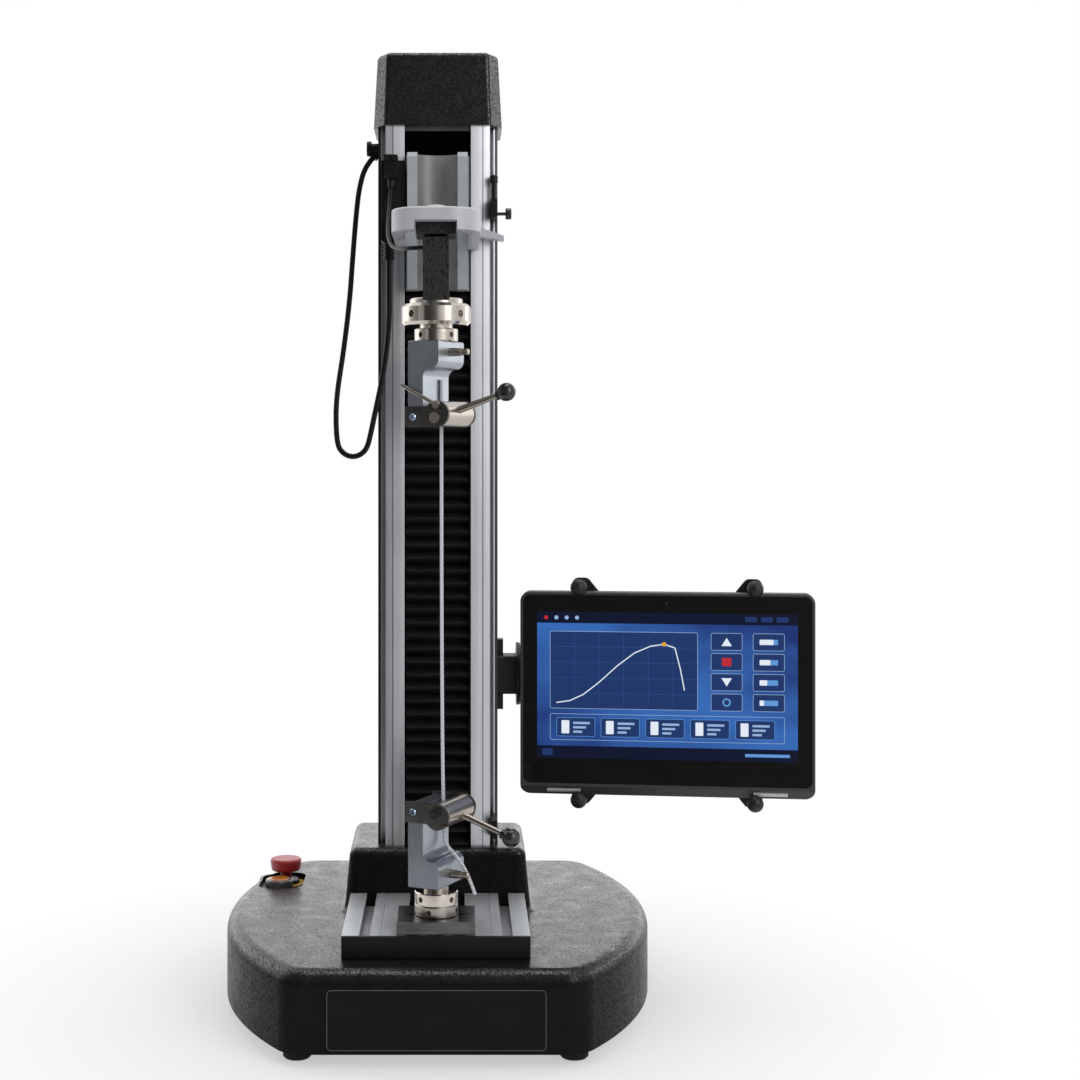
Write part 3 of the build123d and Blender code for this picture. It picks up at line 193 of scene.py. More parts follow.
def grained(name, colour, rough, cell, depth, pale, specular, edge=0.4 * MM, upright=None):
    # Moulded or powder-coated skin: fine pebbles, cloudy tone, uneven gloss
    look = Look(name)
    cloud = look.noise(18 * MM, 4.0)
    pebble = look.pebbles(cell)
    fine = look.noise(cell * 0.5, 2.0)
    tone = look.math("MULTIPLY_ADD", pebble, 0.7, look.math("MULTIPLY", cloud, 0.25))
    light = mix_colour(colour, PURE_WHITE, 0.004 + 0.01 * pale)
    dark = mix_colour(colour, BLACK, 0.35)
    look.set(Base_Color=look.ramp(tone, ((0.15, dark), (0.75, light))))
    look.set(Roughness=look.spread(cloud, 0.3, 0.7, rough - 0.05, rough + 0.06))
    look.set(Specular_IOR_Level=specular)
    if upright is not None:
        # Coarse grain: pebble tops shine, and upright walls are duller than the top
        gloss = look.spread(look.facing_up(), 0.2, 0.8, upright, specular)
        tops = look.spread(pebble, 0.15, 0.6, 1.7, 0.2)
        look.set(Specular_IOR_Level=look.math("MULTIPLY", gloss, tops))
    if edge:
        look.soften(edge)
    look.bump(look.math("MULTIPLY_ADD", fine, 0.35, pebble), depth)
    return look.done()


def metal(
    name, colour, rough, grain, depth=0.004 * MM, aniso=0.0, edge=0.35 * MM, blotch=0.12, metallic=1.0,
):
    # Worked metal: streaks along one axis, cloudy tone, hairline scratches
    look = Look(name)
    streak = look.noise(grain, 3.0, 0.6)
    cloud = look.noise(35 * MM, 3.0)
    fleck = look.noise(tuple(g * 0.3 for g in grain), 2.0)
    low = mix_colour(colour, BLACK, blotch * 1.6)
    high = mix_colour(colour, PURE_WHITE, blotch)
    tone = look.math("MULTIPLY_ADD", cloud, 0.45, look.math("MULTIPLY", streak, 0.55))
    look.set(Base_Color=look.ramp(tone, ((0.3, low), (0.7, high))))
    look.set(Metallic=metallic)
    look.set(Roughness=look.spread(streak, 0.25, 0.75, rough - 0.07, rough + 0.08))
    look.set(Anisotropic=aniso)
    look.soften(edge)
    look.bump(look.math("MULTIPLY_ADD", fleck, 0.4, streak), depth)
    return look.done()


def turned(name, colour, rough):
    # Lathe-cut metal about the load line: fine rings on walls and faces
    pitch = 0.25 * MM
    blotch = 0.1
    look = Look(name)
    x, y, z = look.axes()
    radius = look.length(x, y)
    around = look.node("ShaderNodeCombineXYZ")
    look.link(radius, around.inputs[0])
    look.link(z, around.inputs[1])
    rings = look.noise(pitch, 2.0, 0.6, around.outputs[0])
    cloud = look.noise(14 * MM, 3.0)
    low = mix_colour(colour, BLACK, blotch * 1.5)
    high = mix_colour(colour, PURE_WHITE, blotch)
    tone = look.math("MULTIPLY_ADD", cloud, 0.6, look.math("MULTIPLY", rings, 0.4))
    look.set(Base_Color=look.ramp(tone, ((0.3, low), (0.7, high))))
    look.set(Metallic=1.0)
    look.set(Roughness=look.spread(rings, 0.3, 0.7, rough - 0.04, rough + 0.06))
    look.soften(0.3 * MM)
    look.bump(rings, 0.006 * MM)
    return look.done()


def painted(name, colour, rough, peel=1.6 * MM, depth=0.02 * MM, coat=0.0, edge=0.5 * MM):
    # Smooth paint with orange peel and a slightly cloudy tone
    blotch = 0.05
    look = Look(name)
    skin = look.noise(peel, 2.0)
    cloud = look.noise(22 * MM, 4.0)
    low = mix_colour(colour, BLACK, blotch * 1.5)
    high = mix_colour(colour, PURE_WHITE, blotch)
    look.set(Base_Color=look.ramp(cloud, ((0.3, low), (0.72, high))))
    look.set(Roughness=look.spread(cloud, 0.3, 0.7, rough - 0.05, rough + 0.06))
    look.set(Coat_Weight=coat)
    if edge:
        look.soften(edge)
    look.bump(skin, depth)
    return look.done()


# Materials

casing = grained("casing_black", grey(13), 0.3, 1.9 * MM, 0.13 * MM, 1.0, 0.48, 0.4 * MM, 0.06)
cap_skin = grained("cap_black", grey(14), 0.3, 1.9 * MM, 0.16 * MM, 1.0, 0.45, 0.4 * MM, 0.45)
plate_steel = metal("plate_zinc", grey(178), 0.36, (60 * MM, 0.5 * MM, 0.5 * MM))
foot_rubber = grained("foot_rubber", grey(22), 0.75, 0.8 * MM, 0.05 * MM, 0.3, 0.3)
table_alu = metal(
    "table_aluminium", srgb(210, 213, 216), 0.42, (0.35 * MM, 45 * MM, 0.35 * MM), 0.006 * MM, 0.3,
    metallic=0.7,
)
plastic = grained("plastic_black", grey(15), 0.42, 0.6 * MM, 0.03 * MM, 0.4, 0.2)
dark_steel = metal(
    "steel_blackened", grey(52), 0.3, (22 * MM, 0.4 * MM, 0.4 * MM), 0.008 * MM, 0.0, 0.3 * MM, 0.18,
)
nickel = turned("nickel_turned", srgb(206, 198, 188), 0.13)
ground = turned("steel_ground", srgb(172, 166, 158), 0.26)
inner = painted("inner_paint", grey(60), 0.5)
pan_paint = painted("pan_grey", grey(128), 0.3)
board_green = painted("board_mask", srgb(22, 82, 44), 0.4, 3 * MM)
cable_skin = grained("cable_jacket", grey(11), 0.42, 0.9 * MM, 0.012 * MM, 0.2, 0.24, 0)
cheek_paint = painted("carriage_grey", srgb(174, 180, 184), 0.42, 1.4 * MM, 0.02 * MM)
yoke_paint = painted("yoke_silver", srgb(196, 197, 201), 0.38, 1.2 * MM, 0.02 * MM, 0.1, 0.8 * MM)
pin_steel = metal("pin_steel", srgb(172, 163, 150), 0.28, (0.5 * MM, 0.5 * MM, 6 * MM))
grip_alu = metal("grip_milled", srgb(154, 160, 170), 0.33, (0.5 * MM, 0.5 * MM, 24 * MM), 0.006 * MM, 0.2)
plate_dark = metal(
    "side_plate_dark", srgb(66, 61, 56), 0.38, (14 * MM, 14 * MM, 0.45 * MM), 0.008 * MM, 0.0, 0.4 * MM, 0.16,
)
roller_steel = metal(
    "roller_nickel", srgb(180, 170, 158), 0.3, (0.35 * MM, 5 * MM, 0.35 * MM), 0.006 * MM, 0.2,
)
lever_steel = metal("lever_steel", srgb(160, 152, 140), 0.27, (8 * MM, 8 * MM, 0.5 * MM))
ball_black = painted("ball_black", grey(12), 0.12, 6 * MM, 0.004 * MM, 0.0, 0)
bezel_ring = painted("bezel_ring", srgb(66, 64, 60), 0.25, 3 * MM, 0.01 * MM, 0.3)
stop_red = painted("stop_red", srgb(168, 8, 16), 0.4, 2.5 * MM, 0.012 * MM, 0.08, 0.6 * MM)
arm_black = grained("arm_coating", grey(20), 0.46, 0.7 * MM, 0.06 * MM, 0.6, 0.4)
finger_rubber = grained("finger_rubber", grey(22), 0.5, 0.6 * MM, 0.03 * MM, 0.4, 0.45)
knob_skin = grained("knob_plastic", grey(26), 0.45, 0.5 * MM, 0.03 * MM, 0.4, 0.45)
tablet_skin = grained("tablet_grain", srgb(64, 59, 59), 0.45, 0.5 * MM, 0.02 * MM, 0.4, 0.4)
hinge_silver = metal("hinge_silver", srgb(196, 197, 200), 0.3, (14 * MM, 0.3 * MM, 0.3 * MM), metallic=0.5)
zinc_blue = metal("screw_zinc", srgb(150, 176, 200), 0.22, (1 * MM, 1 * MM, 1 * MM))


# Column: the two front lands are shaded as if turned a little to the right

land_middle = 43 * MM
land_lean = 0.0325
land_turn = 0.1175
land_crown = 2.5
land_groove = 45.2 * MM
land_back_y = 146 * MM
rebate_y = 163.4 * MM
blur = 0.4 * MM


def column_extrusion():
    # Drawn and anodised: long streaks, with painted shade as a fine dark line along each land and in the
    # rebates
    look = Look("column_aluminium")
    x, y = look.axes()[:2]
    aside = look.math("ABSOLUTE", x)
    streak = look.noise((0.5 * MM, 0.5 * MM, 140 * MM), 3.0, 0.6)
    broad = look.noise((5 * MM, 5 * MM, 400 * MM), 1.0)
    cloud = look.noise(60 * MM, 2.0)
    tone = look.math("MULTIPLY_ADD", streak, 0.3, look.math("MULTIPLY", cloud, 0.2))
    tone = look.math("MULTIPLY_ADD", broad, 0.5, tone)
    bright = look.ramp(tone, ((0.3, srgb(176, 178, 182)), (0.7, srgb(220, 221, 225))))
    # Painted shade: the rebates beside the lands are darker along the lip and towards their outer side, as
    # shade in the recesses
    beside = look.spread(aside, 50 * MM, 62 * MM, 0.0, 1.0)
    rebate_shade_stops = (
        (0.19, grey(255)), (0.21, grey(90)), (0.29, grey(110)), (0.34, grey(255)), (0.6, grey(255)),
        (0.66, grey(70)),
    )
    rebate_unshaded = look.node("ShaderNodeRGBToBW")
    look.link(look.ramp(beside, rebate_shade_stops), rebate_unshaded.inputs[0])
    rebate = look.spread(y, rebate_y, rebate_y + blur, 1.0, 0.0)
    # Painted shade: a dark line along each land stands for the shade in its fine groove
    from_groove = look.math("ABSOLUTE", look.math("SUBTRACT", aside, land_groove))
    groove_shade = look.spread(from_groove, 0.5 * MM, 0.9 * MM, 0.6, 0.0)
    groove_shade = look.math("MULTIPLY", groove_shade, look.spread(y, land_back_y, land_back_y + blur, 1.0, 0.0))
    shade = look.math("MULTIPLY", rebate, look.math("SUBTRACT", 1.0, rebate_unshaded.outputs[0]))
    shade = look.math("MAXIMUM", shade, groove_shade)
    look.set(Base_Color=look.mixed(shade, bright, grey(24)))
    look.set(Metallic=1.0)
    look.set(Roughness=look.spread(streak, 0.25, 0.75, 0.26, 0.4))
    look.soften(0.4 * MM)
    off_middle = look.math("SUBTRACT", aside, land_middle)
    lean = look.math("MULTIPLY_ADD", x, -land_turn, look.math("MULTIPLY", aside, -land_lean))
    crown = look.math("MULTIPLY", look.math("MULTIPLY", off_middle, off_middle), -land_crown)
    look.bump(look.math("ADD", lean, crown), 1.0)
    look.bump(streak, 0.006 * MM)
    return look.done()


def bellows_rubber():
    # Moulded pleats: dull, with painted shade that darkens the valleys, and lighter in patches on the front
    # ridges
    look = Look("bellows_rubber")
    y = look.axes()[1]
    ridge = look.spread(y, 149 * MM, 161 * MM, 1.0, 0.0)
    # Painted shade: the colour darkens from the front ridges into the valleys
    pleat_shading = look.math("MULTIPLY", ridge, look.noise(5 * MM, 4.0))
    look.set(Base_Color=look.ramp(pleat_shading, ((0.05, grey(6)), (0.75, grey(30)))))
    look.set(Roughness=look.spread(look.noise(9 * MM), 0.3, 0.7, 0.55, 0.72))
    look.set(Specular_IOR_Level=0.32)
    look.bump(look.noise(0.45 * MM, 2.0), 0.03 * MM)
    return look.done()


def cell_wrinkle():
    # Black stove enamel with a crinkled skin
    look = Look("cell_wrinkle")
    wide = look.noise((3 * MM, 5 * MM, 7 * MM), 4.0, 0.6)
    fold = look.ramp(wide, ((0.42, BLACK), (0.5, PURE_WHITE), (0.58, BLACK)))
    value = look.node("ShaderNodeRGBToBW")
    look.link(fold, value.inputs[0])
    look.set(Base_Color=look.ramp(value.outputs[0], ((0.0, grey(14)), (1.0, grey(7)))))
    look.set(Roughness=look.spread(value.outputs[0], 0.0, 1.0, 0.24, 0.5))
    look.soften(0.5 * MM)
    look.bump(look.math("SUBTRACT", 1.0, value.outputs[0]), 0.22 * MM)
    return look.done()


def cord_twist(axis_x, axis_y):
    # Twisted specimen cord: strands wind about the line through the given place
    strands = 3.0
    winding = 1500.0
    look = Look("specimen_twist")
    x, y, z = look.axes()
    turn = look.math("ARCTAN2", look.math("SUBTRACT", y, axis_y), look.math("SUBTRACT", x, axis_x))
    wind = look.math("MULTIPLY_ADD", z, winding, look.math("MULTIPLY", turn, strands))
    strand = look.math("SINE", wind)
    fibre = look.noise((0.3 * MM, 0.3 * MM, 1.2 * MM), 3.0)
    tone = look.math("MULTIPLY_ADD", strand, 0.25, look.math("MULTIPLY_ADD", fibre, 0.4, 0.3))
    look.set(Base_Color=look.ramp(tone, ((0.1, srgb(192, 198, 204)), (0.75, srgb(226, 230, 234)))))
    look.set(Roughness=0.7)
    look.set(Sheen_Weight=0.2)
    look.bump(tone, 0.05 * MM)
    return look.done()


def lens_orange():
    # Start button: orange lens with fine ribs
    rib_pitch = 1.4 * MM
    look = Look("lens_orange")
    x = look.axes()[0]
    ribs = look.math("SINE", look.math("MULTIPLY", x, 2 * math.pi / rib_pitch))
    tone = look.math("MULTIPLY_ADD", ribs, 0.2, look.noise(6 * MM))
    look.set(Base_Color=look.ramp(tone, ((0.2, srgb(150, 82, 20)), (0.9, srgb(226, 140, 48)))))
    look.set(Roughness=0.22)
    look.set(Coat_Weight=0.4)
    look.set(Subsurface_Weight=0.15)
    look.bump(tone, 0.05 * MM)
    return look.done()


def glass_black():
    # Cover glass: deep black, faint smears in the gloss
    look = Look("cover_glass")
    smear = look.noise((40 * MM, 40 * MM, 12 * MM), 5.0, 0.6)
    look.set(Base_Color=look.ramp(smear, ((0.3, grey(13)), (0.7, grey(20)))))
    look.set(Roughness=look.spread(smear, 0.35, 0.7, 0.06, 0.13))
    look.set(Specular_IOR_Level=0.5)
    return look.done()


def label_gloss():
    # Printed foil: dark, with a weak gloss
    look = Look("label_gloss")
    cloud = look.noise((30 * MM, 30 * MM, 10 * MM), 4.0)
    look.set(Base_Color=look.ramp(cloud, ((0.3, grey(14)), (0.7, grey(20)))))
    look.set(Roughness=look.spread(cloud, 0.3, 0.7, 0.2, 0.3))
    look.set(Specular_IOR_Level=0.1)
    look.bump(look.noise(2.5 * MM, 2.0), 0.006 * MM)
    return look.done()


column_alu = column_extrusion()
bellows_skin = bellows_rubber()
cell_skin = cell_wrinkle()
lens_skin = lens_orange()
cover_glass = glass_black()
label_skin = label_gloss()
label_line = painted("label_line", grey(92), 0.35, 2 * MM, 0.004 * MM)
legend_yellow = painted("legend_yellow", srgb(214, 164, 20), 0.4, 2 * MM, 0.008 * MM)


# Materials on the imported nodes

dress = {
    "base_housing": casing, "top_cap": cap_skin, "base_plate": plate_steel, "rubber_feet": foot_rubber,
    "work_table": table_alu, "table_end_cap": plastic, "adapter_plate": dark_steel, "lower_adapter": ground,
    "lower_lock_ring": nickel, "column": column_alu, "guide_rails": ground, "screw_bearings": inner,
    "drive_motor": inner, "shaft_coupling": ground, "drive_screw": ground, "control_board": board_green,
    "cable_gland": plastic, "carriage": cheek_paint, "guide_blocks": inner, "screw_nut": ground,
    "yoke": yoke_paint, "cell_bolt": yoke_paint, "load_cell": cell_skin, "upper_adapter": nickel,
    "adapter_collar": nickel, "upper_lock_ring": nickel, "connector_housing": plastic,
    "control_panel": plastic, "start_bezel": bezel_ring, "start_button": lens_skin, "estop_body": plastic,
    "estop_head": stop_red, "power_inlet": plastic, "power_rocker": plastic, "upper_stop": plastic,
    "lower_stop": plastic, "arm_base": arm_black, "support_arm": arm_black, "arm_knob": knob_skin,
    "cradle_hub": arm_black, "upper_jaw": arm_black, "lower_jaw": arm_black, "tablet_shell": tablet_skin,
    "tablet_glass": cover_glass, "tablet_hinges": hinge_silver, "upper_grip_body": grip_alu,
    "lower_grip_body": grip_alu, "upper_grip_plates": plate_dark, "lower_grip_plates": plate_dark,
    "upper_roller": roller_steel, "lower_roller": roller_steel, "upper_lever": lever_steel,
    "lower_lever": lever_steel, "upper_clevis_pin": pin_steel, "lower_clevis_pin": pin_steel,
    "lower_bellows": bellows_skin, "upper_bellows": bellows_skin, "signal_cable": cable_skin,
    "cell_lead": cable_skin, "test_specimen": cable_skin,
}
for name, material in dress.items():
    mesh = nodes[name].data
    mesh.materials.clear()
    mesh.materials.append(material)


def second_finish(name, material, chosen):
    # Gives the faces that chosen() picks by their middle another finish
    mesh = nodes[name].data
    mesh.materials.append(material)
    index = len(mesh.materials) - 1
    for face in mesh.polygons:
        if chosen(face.center):
            face.material_index = index


# Grips: ball knobs, release rods and their tips

turn = math.radians(-26)
across = Vector((math.cos(turn), math.sin(turn), 0))
along = Vector((-math.sin(turn), math.cos(turn), 0))
upper_seat = 648
lower_seat = 147
lever_angle = math.radians(18.5)
lever_root_u = 15
lever_root_v = -5
lever_root_z = -67.2
lever_reach = 62
rod_root_u = 16
rod_root_v = -31.5
rod_root_z = -59
ball_reach = 10.6 * MM
plate_outside = 29.55 * MM
rod_bare = 33 * MM


def grip_point(u, v, z, which):
    # u across the jaw, v along the roller, z from the grip's seat, in millimetres
    if which == "upper":
        return across * (u * MM) + along * (v * MM) + Vector((0, 0, (upper_seat + z) * MM))
    return across * (u * MM) - along * (v * MM) + Vector((0, 0, (lower_seat - z) * MM))


def on_rod(c):
    return abs(c.dot(along)) > plate_outside


for which in ("upper", "lower"):
    ball_u = lever_root_u + lever_reach * math.cos(lever_angle)
    ball_z = lever_root_z + lever_reach * math.sin(lever_angle)
    ball = grip_point(ball_u, lever_root_v, ball_z, which)
    second_finish(which + "_lever", ball_black, lambda c, ball=ball: (c - ball).length < ball_reach)
    rod_root = grip_point(rod_root_u, rod_root_v, rod_root_z, which)
    second_finish(which + "_grip_plates", lever_steel, on_rod)
    second_finish(
        which + "_grip_plates", ball_black,
        lambda c, root=rod_root: on_rod(c) and (c - root).length > rod_bare,
    )

# Console: rubber finger caps on the jaws

tablet_middle = (0.227, 0.121, 0.304)
tablet_turn = math.radians(-7)
tablet_place = Matrix.Translation(tablet_middle) @ Matrix.Rotation(tablet_turn, 4, "Z")
to_tablet = tablet_place.inverted()
finger_x = 0.087
finger_z = 0.106
finger_back = 22.4 * MM
finger_reach = 8.6 * MM


def on_finger(c, sign):
    local = to_tablet @ c
    beside = math.hypot(abs(local.x) - finger_x, local.z - sign * finger_z)
    return local.y < finger_back and beside < finger_reach


second_finish("upper_jaw", finger_rubber, lambda c: on_finger(c, 1))
second_finish("lower_jaw", finger_rubber, lambda c: on_finger(c, -1))

# Stops: thumbscrews and the upper stop's tip, and the carriage's grey pan

stop_side = 60.2 * MM
stop_tip = 820 * MM
pan_half = 19.8 * MM
pan_front = 138 * MM
pan_back = 149 * MM
for name in ("upper_stop", "lower_stop"):
    second_finish(name, ball_black, lambda c: c.x > stop_side)
second_finish("upper_stop", ball_black, lambda c: c.z > stop_tip)
second_finish("carriage", pan_paint, lambda c: abs(c.x) < pan_half and pan_front < c.y < pan_back)


# Pieces built here

def add_object(name, data):
    obj = bpy.data.objects.new(name, data)
    scene.collection.objects.link(obj)
    return obj


def mesh_from(name, build):
    work = bmesh.new()
    build(work)
    bmesh.ops.recalc_face_normals(work, faces=work.faces)
    mesh = bpy.data.meshes.new(name)
    work.to_mesh(mesh)
    work.free()
    return mesh


def smooth(mesh, angle=40):
    for face in mesh.polygons:
        face.use_smooth = True
    mesh.set_sharp_from_angle(angle=math.radians(angle))


def cord_curve(name, points, diameter):
    data = bpy.data.curves.new(name, "CURVE")
    data.dimensions = "3D"
    spline = data.splines.new("NURBS")
    spline.points.add(len(points) - 1)
    for point, place in zip(spline.points, points):
        point.co = (*[c * MM for c in place], 1.0)
    spline.order_u = 3
    spline.use_endpoint_u = True
    spline.resolution_u = 12
    data.bevel_depth = diameter / 2
    data.bevel_resolution = 6
    data.use_fill_caps = True
    return add_object(name, data)


def read_mesh(curve):
    bpy.context.view_layer.update()
    return bpy.data.meshes.new_from_object(curve.evaluated_get(bpy.context.evaluated_depsgraph_get()))


def cord_tube(name, points, diameter):
    # A mesh tube on the route's own spline, and the line that it follows
    line = cord_curve(name + "_line", points, 0.0)
    path = [vertex.co.copy() for vertex in read_mesh(line).vertices]
    bpy.data.objects.remove(line)
    tube = cord_curve(name + "_tube", points, diameter)
    mesh = read_mesh(tube)
    bpy.data.objects.remove(tube)
    smooth(mesh, 60)
    return add_object(name, mesh), path


# Cords

signal_route = [
    (-67, 195, 848), (-75, 193, 839), (-81, 190, 817), (-84, 187, 790), (-87, 181, 748), (-90, 173, 698),
    (-96, 165, 645), (-101, 160, 612), (-103, 157, 588), (-102.5, 155, 565.5), (-100.9, 154, 552),
    (-97.7, 153, 546), (-92.2, 152, 541.6), (-85.5, 151, 540), (-78.8, 150, 541.6), (-73.3, 149, 546),
    (-70.1, 148, 552), (-67, 146.5, 565), (-62, 143, 588), (-56, 138, 615), (-51, 132, 645),
    (-48, 126, 676), (-48, 118, 705), (-48, 118, 735),
]
lead_route = [
    (-46, 118, 806), (-46.5, 114, 794), (-48, 99, 772), (-47.5, 79, 754), (-44, 59, 743.5),
    (-38, 40, 738.5), (-31, 24, 736.5), (-23, 13, 736), (-12, 8, 736),
]
specimen_u = 1.3
specimen_v = 8.3
specimen_bends = [(specimen_u, 613), (specimen_u, 190), (9, 178), (20, 169), (30, 153), (36, 138)]
specimen_route = [tuple(across * u + along * specimen_v + Vector((0, 0, z))) for u, z in specimen_bends]
signal_d = 5.5 * MM
lead_d = 4 * MM
specimen_d = 3.2 * MM

signal, signal_path = cord_tube("signal_cable_jacket", signal_route, signal_d)
signal.data.materials.append(cable_skin)
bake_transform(signal)
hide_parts("signal_cable")

lead = cord_curve("cell_lead_jacket", lead_route, lead_d)
lead.data.materials.append(cable_skin)
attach(lead, "crosshead")
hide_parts("cell_lead")

specimen, specimen_path = cord_tube("specimen_cord", specimen_route, specimen_d)
load_line = across * specimen_u * MM + along * specimen_v * MM
specimen.data.materials.append(cord_twist(load_line.x, load_line.y))
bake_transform(specimen)
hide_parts("test_specimen")


# Bellows: runs of spans of a few pleats each, from the plinth to the carriage and from the carriage to the
# cap

bellows_half = 31.5 * MM
bellows_front = 149 * MM
bellows_deep = 12 * MM
bellows_skin_t = 1.0 * MM
fold_steps = 8
side_steps = 6
ripple = 0.2 * MM


def pleat_depth(phase):
    # Rounded fold, 0 at the front ridge and 1 in the valley
    sharp = abs((phase % 1.0) * 2 - 1)
    return 0.5 + 0.5 * math.sin((sharp - 0.5) * math.pi) * 0.35 + (sharp - 0.5) * 0.65


def bellows_span(name, z0, z1, pleats, first_pleat):
    rows = pleats * fold_steps

    def build(work):
        sheets = []
        for lift in (0.0, bellows_skin_t):
            grid = []
            for i in range(rows + 1):
                z = z0 + (z1 - z0) * i / rows
                deep = pleat_depth(i / fold_steps)
                line = []
                for k in range(side_steps + 1):
                    x = -bellows_half + 2 * bellows_half * k / side_steps
                    wave = ripple * math.sin(5.1 * (first_pleat + i / fold_steps) + 3.0 * k)
                    y = bellows_front + lift + deep * (bellows_deep - bellows_skin_t) + wave * deep
                    line.append(work.verts.new((x, y, z)))
                grid.append(line)
            sheets.append(grid)
        front, back = sheets
        for grid in sheets:
            for a, b in zip(grid, grid[1:]):
                for k in range(side_steps):
                    work.faces.new((a[k], a[k + 1], b[k + 1], b[k]))
        for k in (0, side_steps):
            for i in range(rows):
                work.faces.new((front[i][k], front[i + 1][k], back[i + 1][k], back[i][k]))
        for i in (0, rows):
            for k in range(side_steps):
                work.faces.new((front[i][k], front[i][k + 1], back[i][k + 1], back[i][k]))

    mesh = mesh_from(name, build)
    mesh.materials.append(bellows_skin)
    smooth(mesh, 35)
    return add_object(name, mesh)


def bellows_run(node, z0, z1, spans, pleats):
    for i in range(spans):
        low = z0 + (z1 - z0) * i / spans
        high = z0 + (z1 - z0) * (i + 1) / spans
        piece = bellows_span(f"{node}_span_{i}", low, high, pleats, i * pleats)
        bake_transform(piece)
        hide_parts(node)


plinth_top = 0.130
carriage_foot = 0.707
carriage_top = 0.843
cap_foot = 0.868
bellows_run("lower_bellows", plinth_top, carriage_foot, 11, 4)
bellows_run("upper_bellows", carriage_top, cap_foot, 7, 2)


# Bare label plate on the front

corner_steps = 6


def rounded(x0, x1, z0, z1, r):
    corners = ((x1 - r, z1 - r, 0), (x0 + r, z1 - r, 90), (x0 + r, z0 + r, 180), (x1 - r, z0 + r, 270))
    out = []
    for cx, cz, start in corners:
        for i in range(corner_steps + 1):
            a = math.radians(start + 90 * i / corner_steps)
            out.append((cx + r * math.cos(a), cz + r * math.sin(a)))
    return out


def slab(work, outline, y_front, y_back):
    front = [work.verts.new((x, y_front, z)) for x, z in outline]
    back = [work.verts.new((x, y_back, z)) for x, z in outline]
    work.faces.new(front)
    work.faces.new(list(reversed(back)))
    for i in range(len(front)):
        j = (i + 1) % len(front)
        work.faces.new((front[i], back[i], back[j], front[j]))


def band(work, outer, inner_line, y_front, y_back, index):
    rings = []
    for outline, y in ((outer, y_back), (outer, y_front), (inner_line, y_front), (inner_line, y_back)):
        rings.append([work.verts.new((x, y, z)) for x, z in outline])
    count = len(outer)
    for a, b in zip(rings, rings[1:]):
        for i in range(count):
            j = (i + 1) % count
            face = work.faces.new((a[i], a[j], b[j], b[i]))
            face.material_index = index


label_box = (-97.5 * MM, 99.5 * MM, 15 * MM, 71 * MM)
label_y = -75 * MM
label_r = 5 * MM
label_front = label_y - 0.3 * MM
line_front = label_y - 0.36 * MM
line_in = 1.2 * MM
line_wide = 0.45 * MM
line_r = 4 * MM


def inset(box, by, r):
    x0, x1, z0, z1 = box
    return rounded(x0 + by, x1 - by, z0 + by, z1 - by, r)


def build_label(work):
    slab(work, inset(label_box, 0.0, label_r), label_front, label_y)
    outer = inset(label_box, line_in, line_r)
    inside = inset(label_box, line_in + line_wide, line_r - line_wide)
    band(work, outer, inside, line_front, label_front, 1)


label = add_object("label_plate", mesh_from("label_plate", build_label))
label.data.materials.append(label_skin)
label.data.materials.append(label_line)
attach(label, "frame")


# Screen: a lit panel of plain shapes in front of the glass

def lit(name, colour, strength=1.0, colour_two=None):
    look = Look(name)
    shade = colour
    if colour_two is not None:
        x, _, z = look.axes()
        slant = look.math("MULTIPLY_ADD", x, 2.2, look.math("MULTIPLY", z, 4.0))
        drift = look.math("MULTIPLY_ADD", look.noise((60 * MM, 60 * MM, 30 * MM), 1.0), 0.5, slant)
        share = look.spread(drift, -0.25, 0.75, 0.0, 1.0)
        shade = look.ramp(share, ((0.0, colour), (0.55, colour_two), (1.0, colour)))
    look.set(Base_Color=grey(4))
    look.set(Emission_Color=shade)
    look.set(Emission_Strength=strength)
    look.set(Roughness=0.08)
    return look.done()


screen_colours = [
    lit("screen_blue", srgb(30, 52, 116), 0.95, srgb(56, 108, 186)),
    lit("screen_navy", srgb(10, 18, 44)),
    lit("screen_line", srgb(150, 180, 216)),
    lit("screen_tile", srgb(30, 54, 104)),
    lit("screen_white", srgb(226, 234, 244)),
    lit("screen_sky", srgb(96, 150, 214)),
    lit("screen_amber", srgb(226, 160, 50)),
    lit("screen_red", srgb(190, 42, 52)),
]
BLUE, NAVY, LINE, TILE, WHITE, SKY, AMBER, RED = range(8)
screen_x = 128.4 * MM
screen_low = -64.4 * MM
screen_high = 81.4 * MM
layer_first = 0.1
layer_step = 0.06
frame_r = 1.8 * MM
frame_line = 0.45 * MM
disc_sides = 20


def ring_points(x, z, radius, sides):
    angles = [2 * math.pi * i / sides for i in range(sides)]
    return [(x + radius * math.cos(a), z + radius * math.sin(a)) for a in angles]


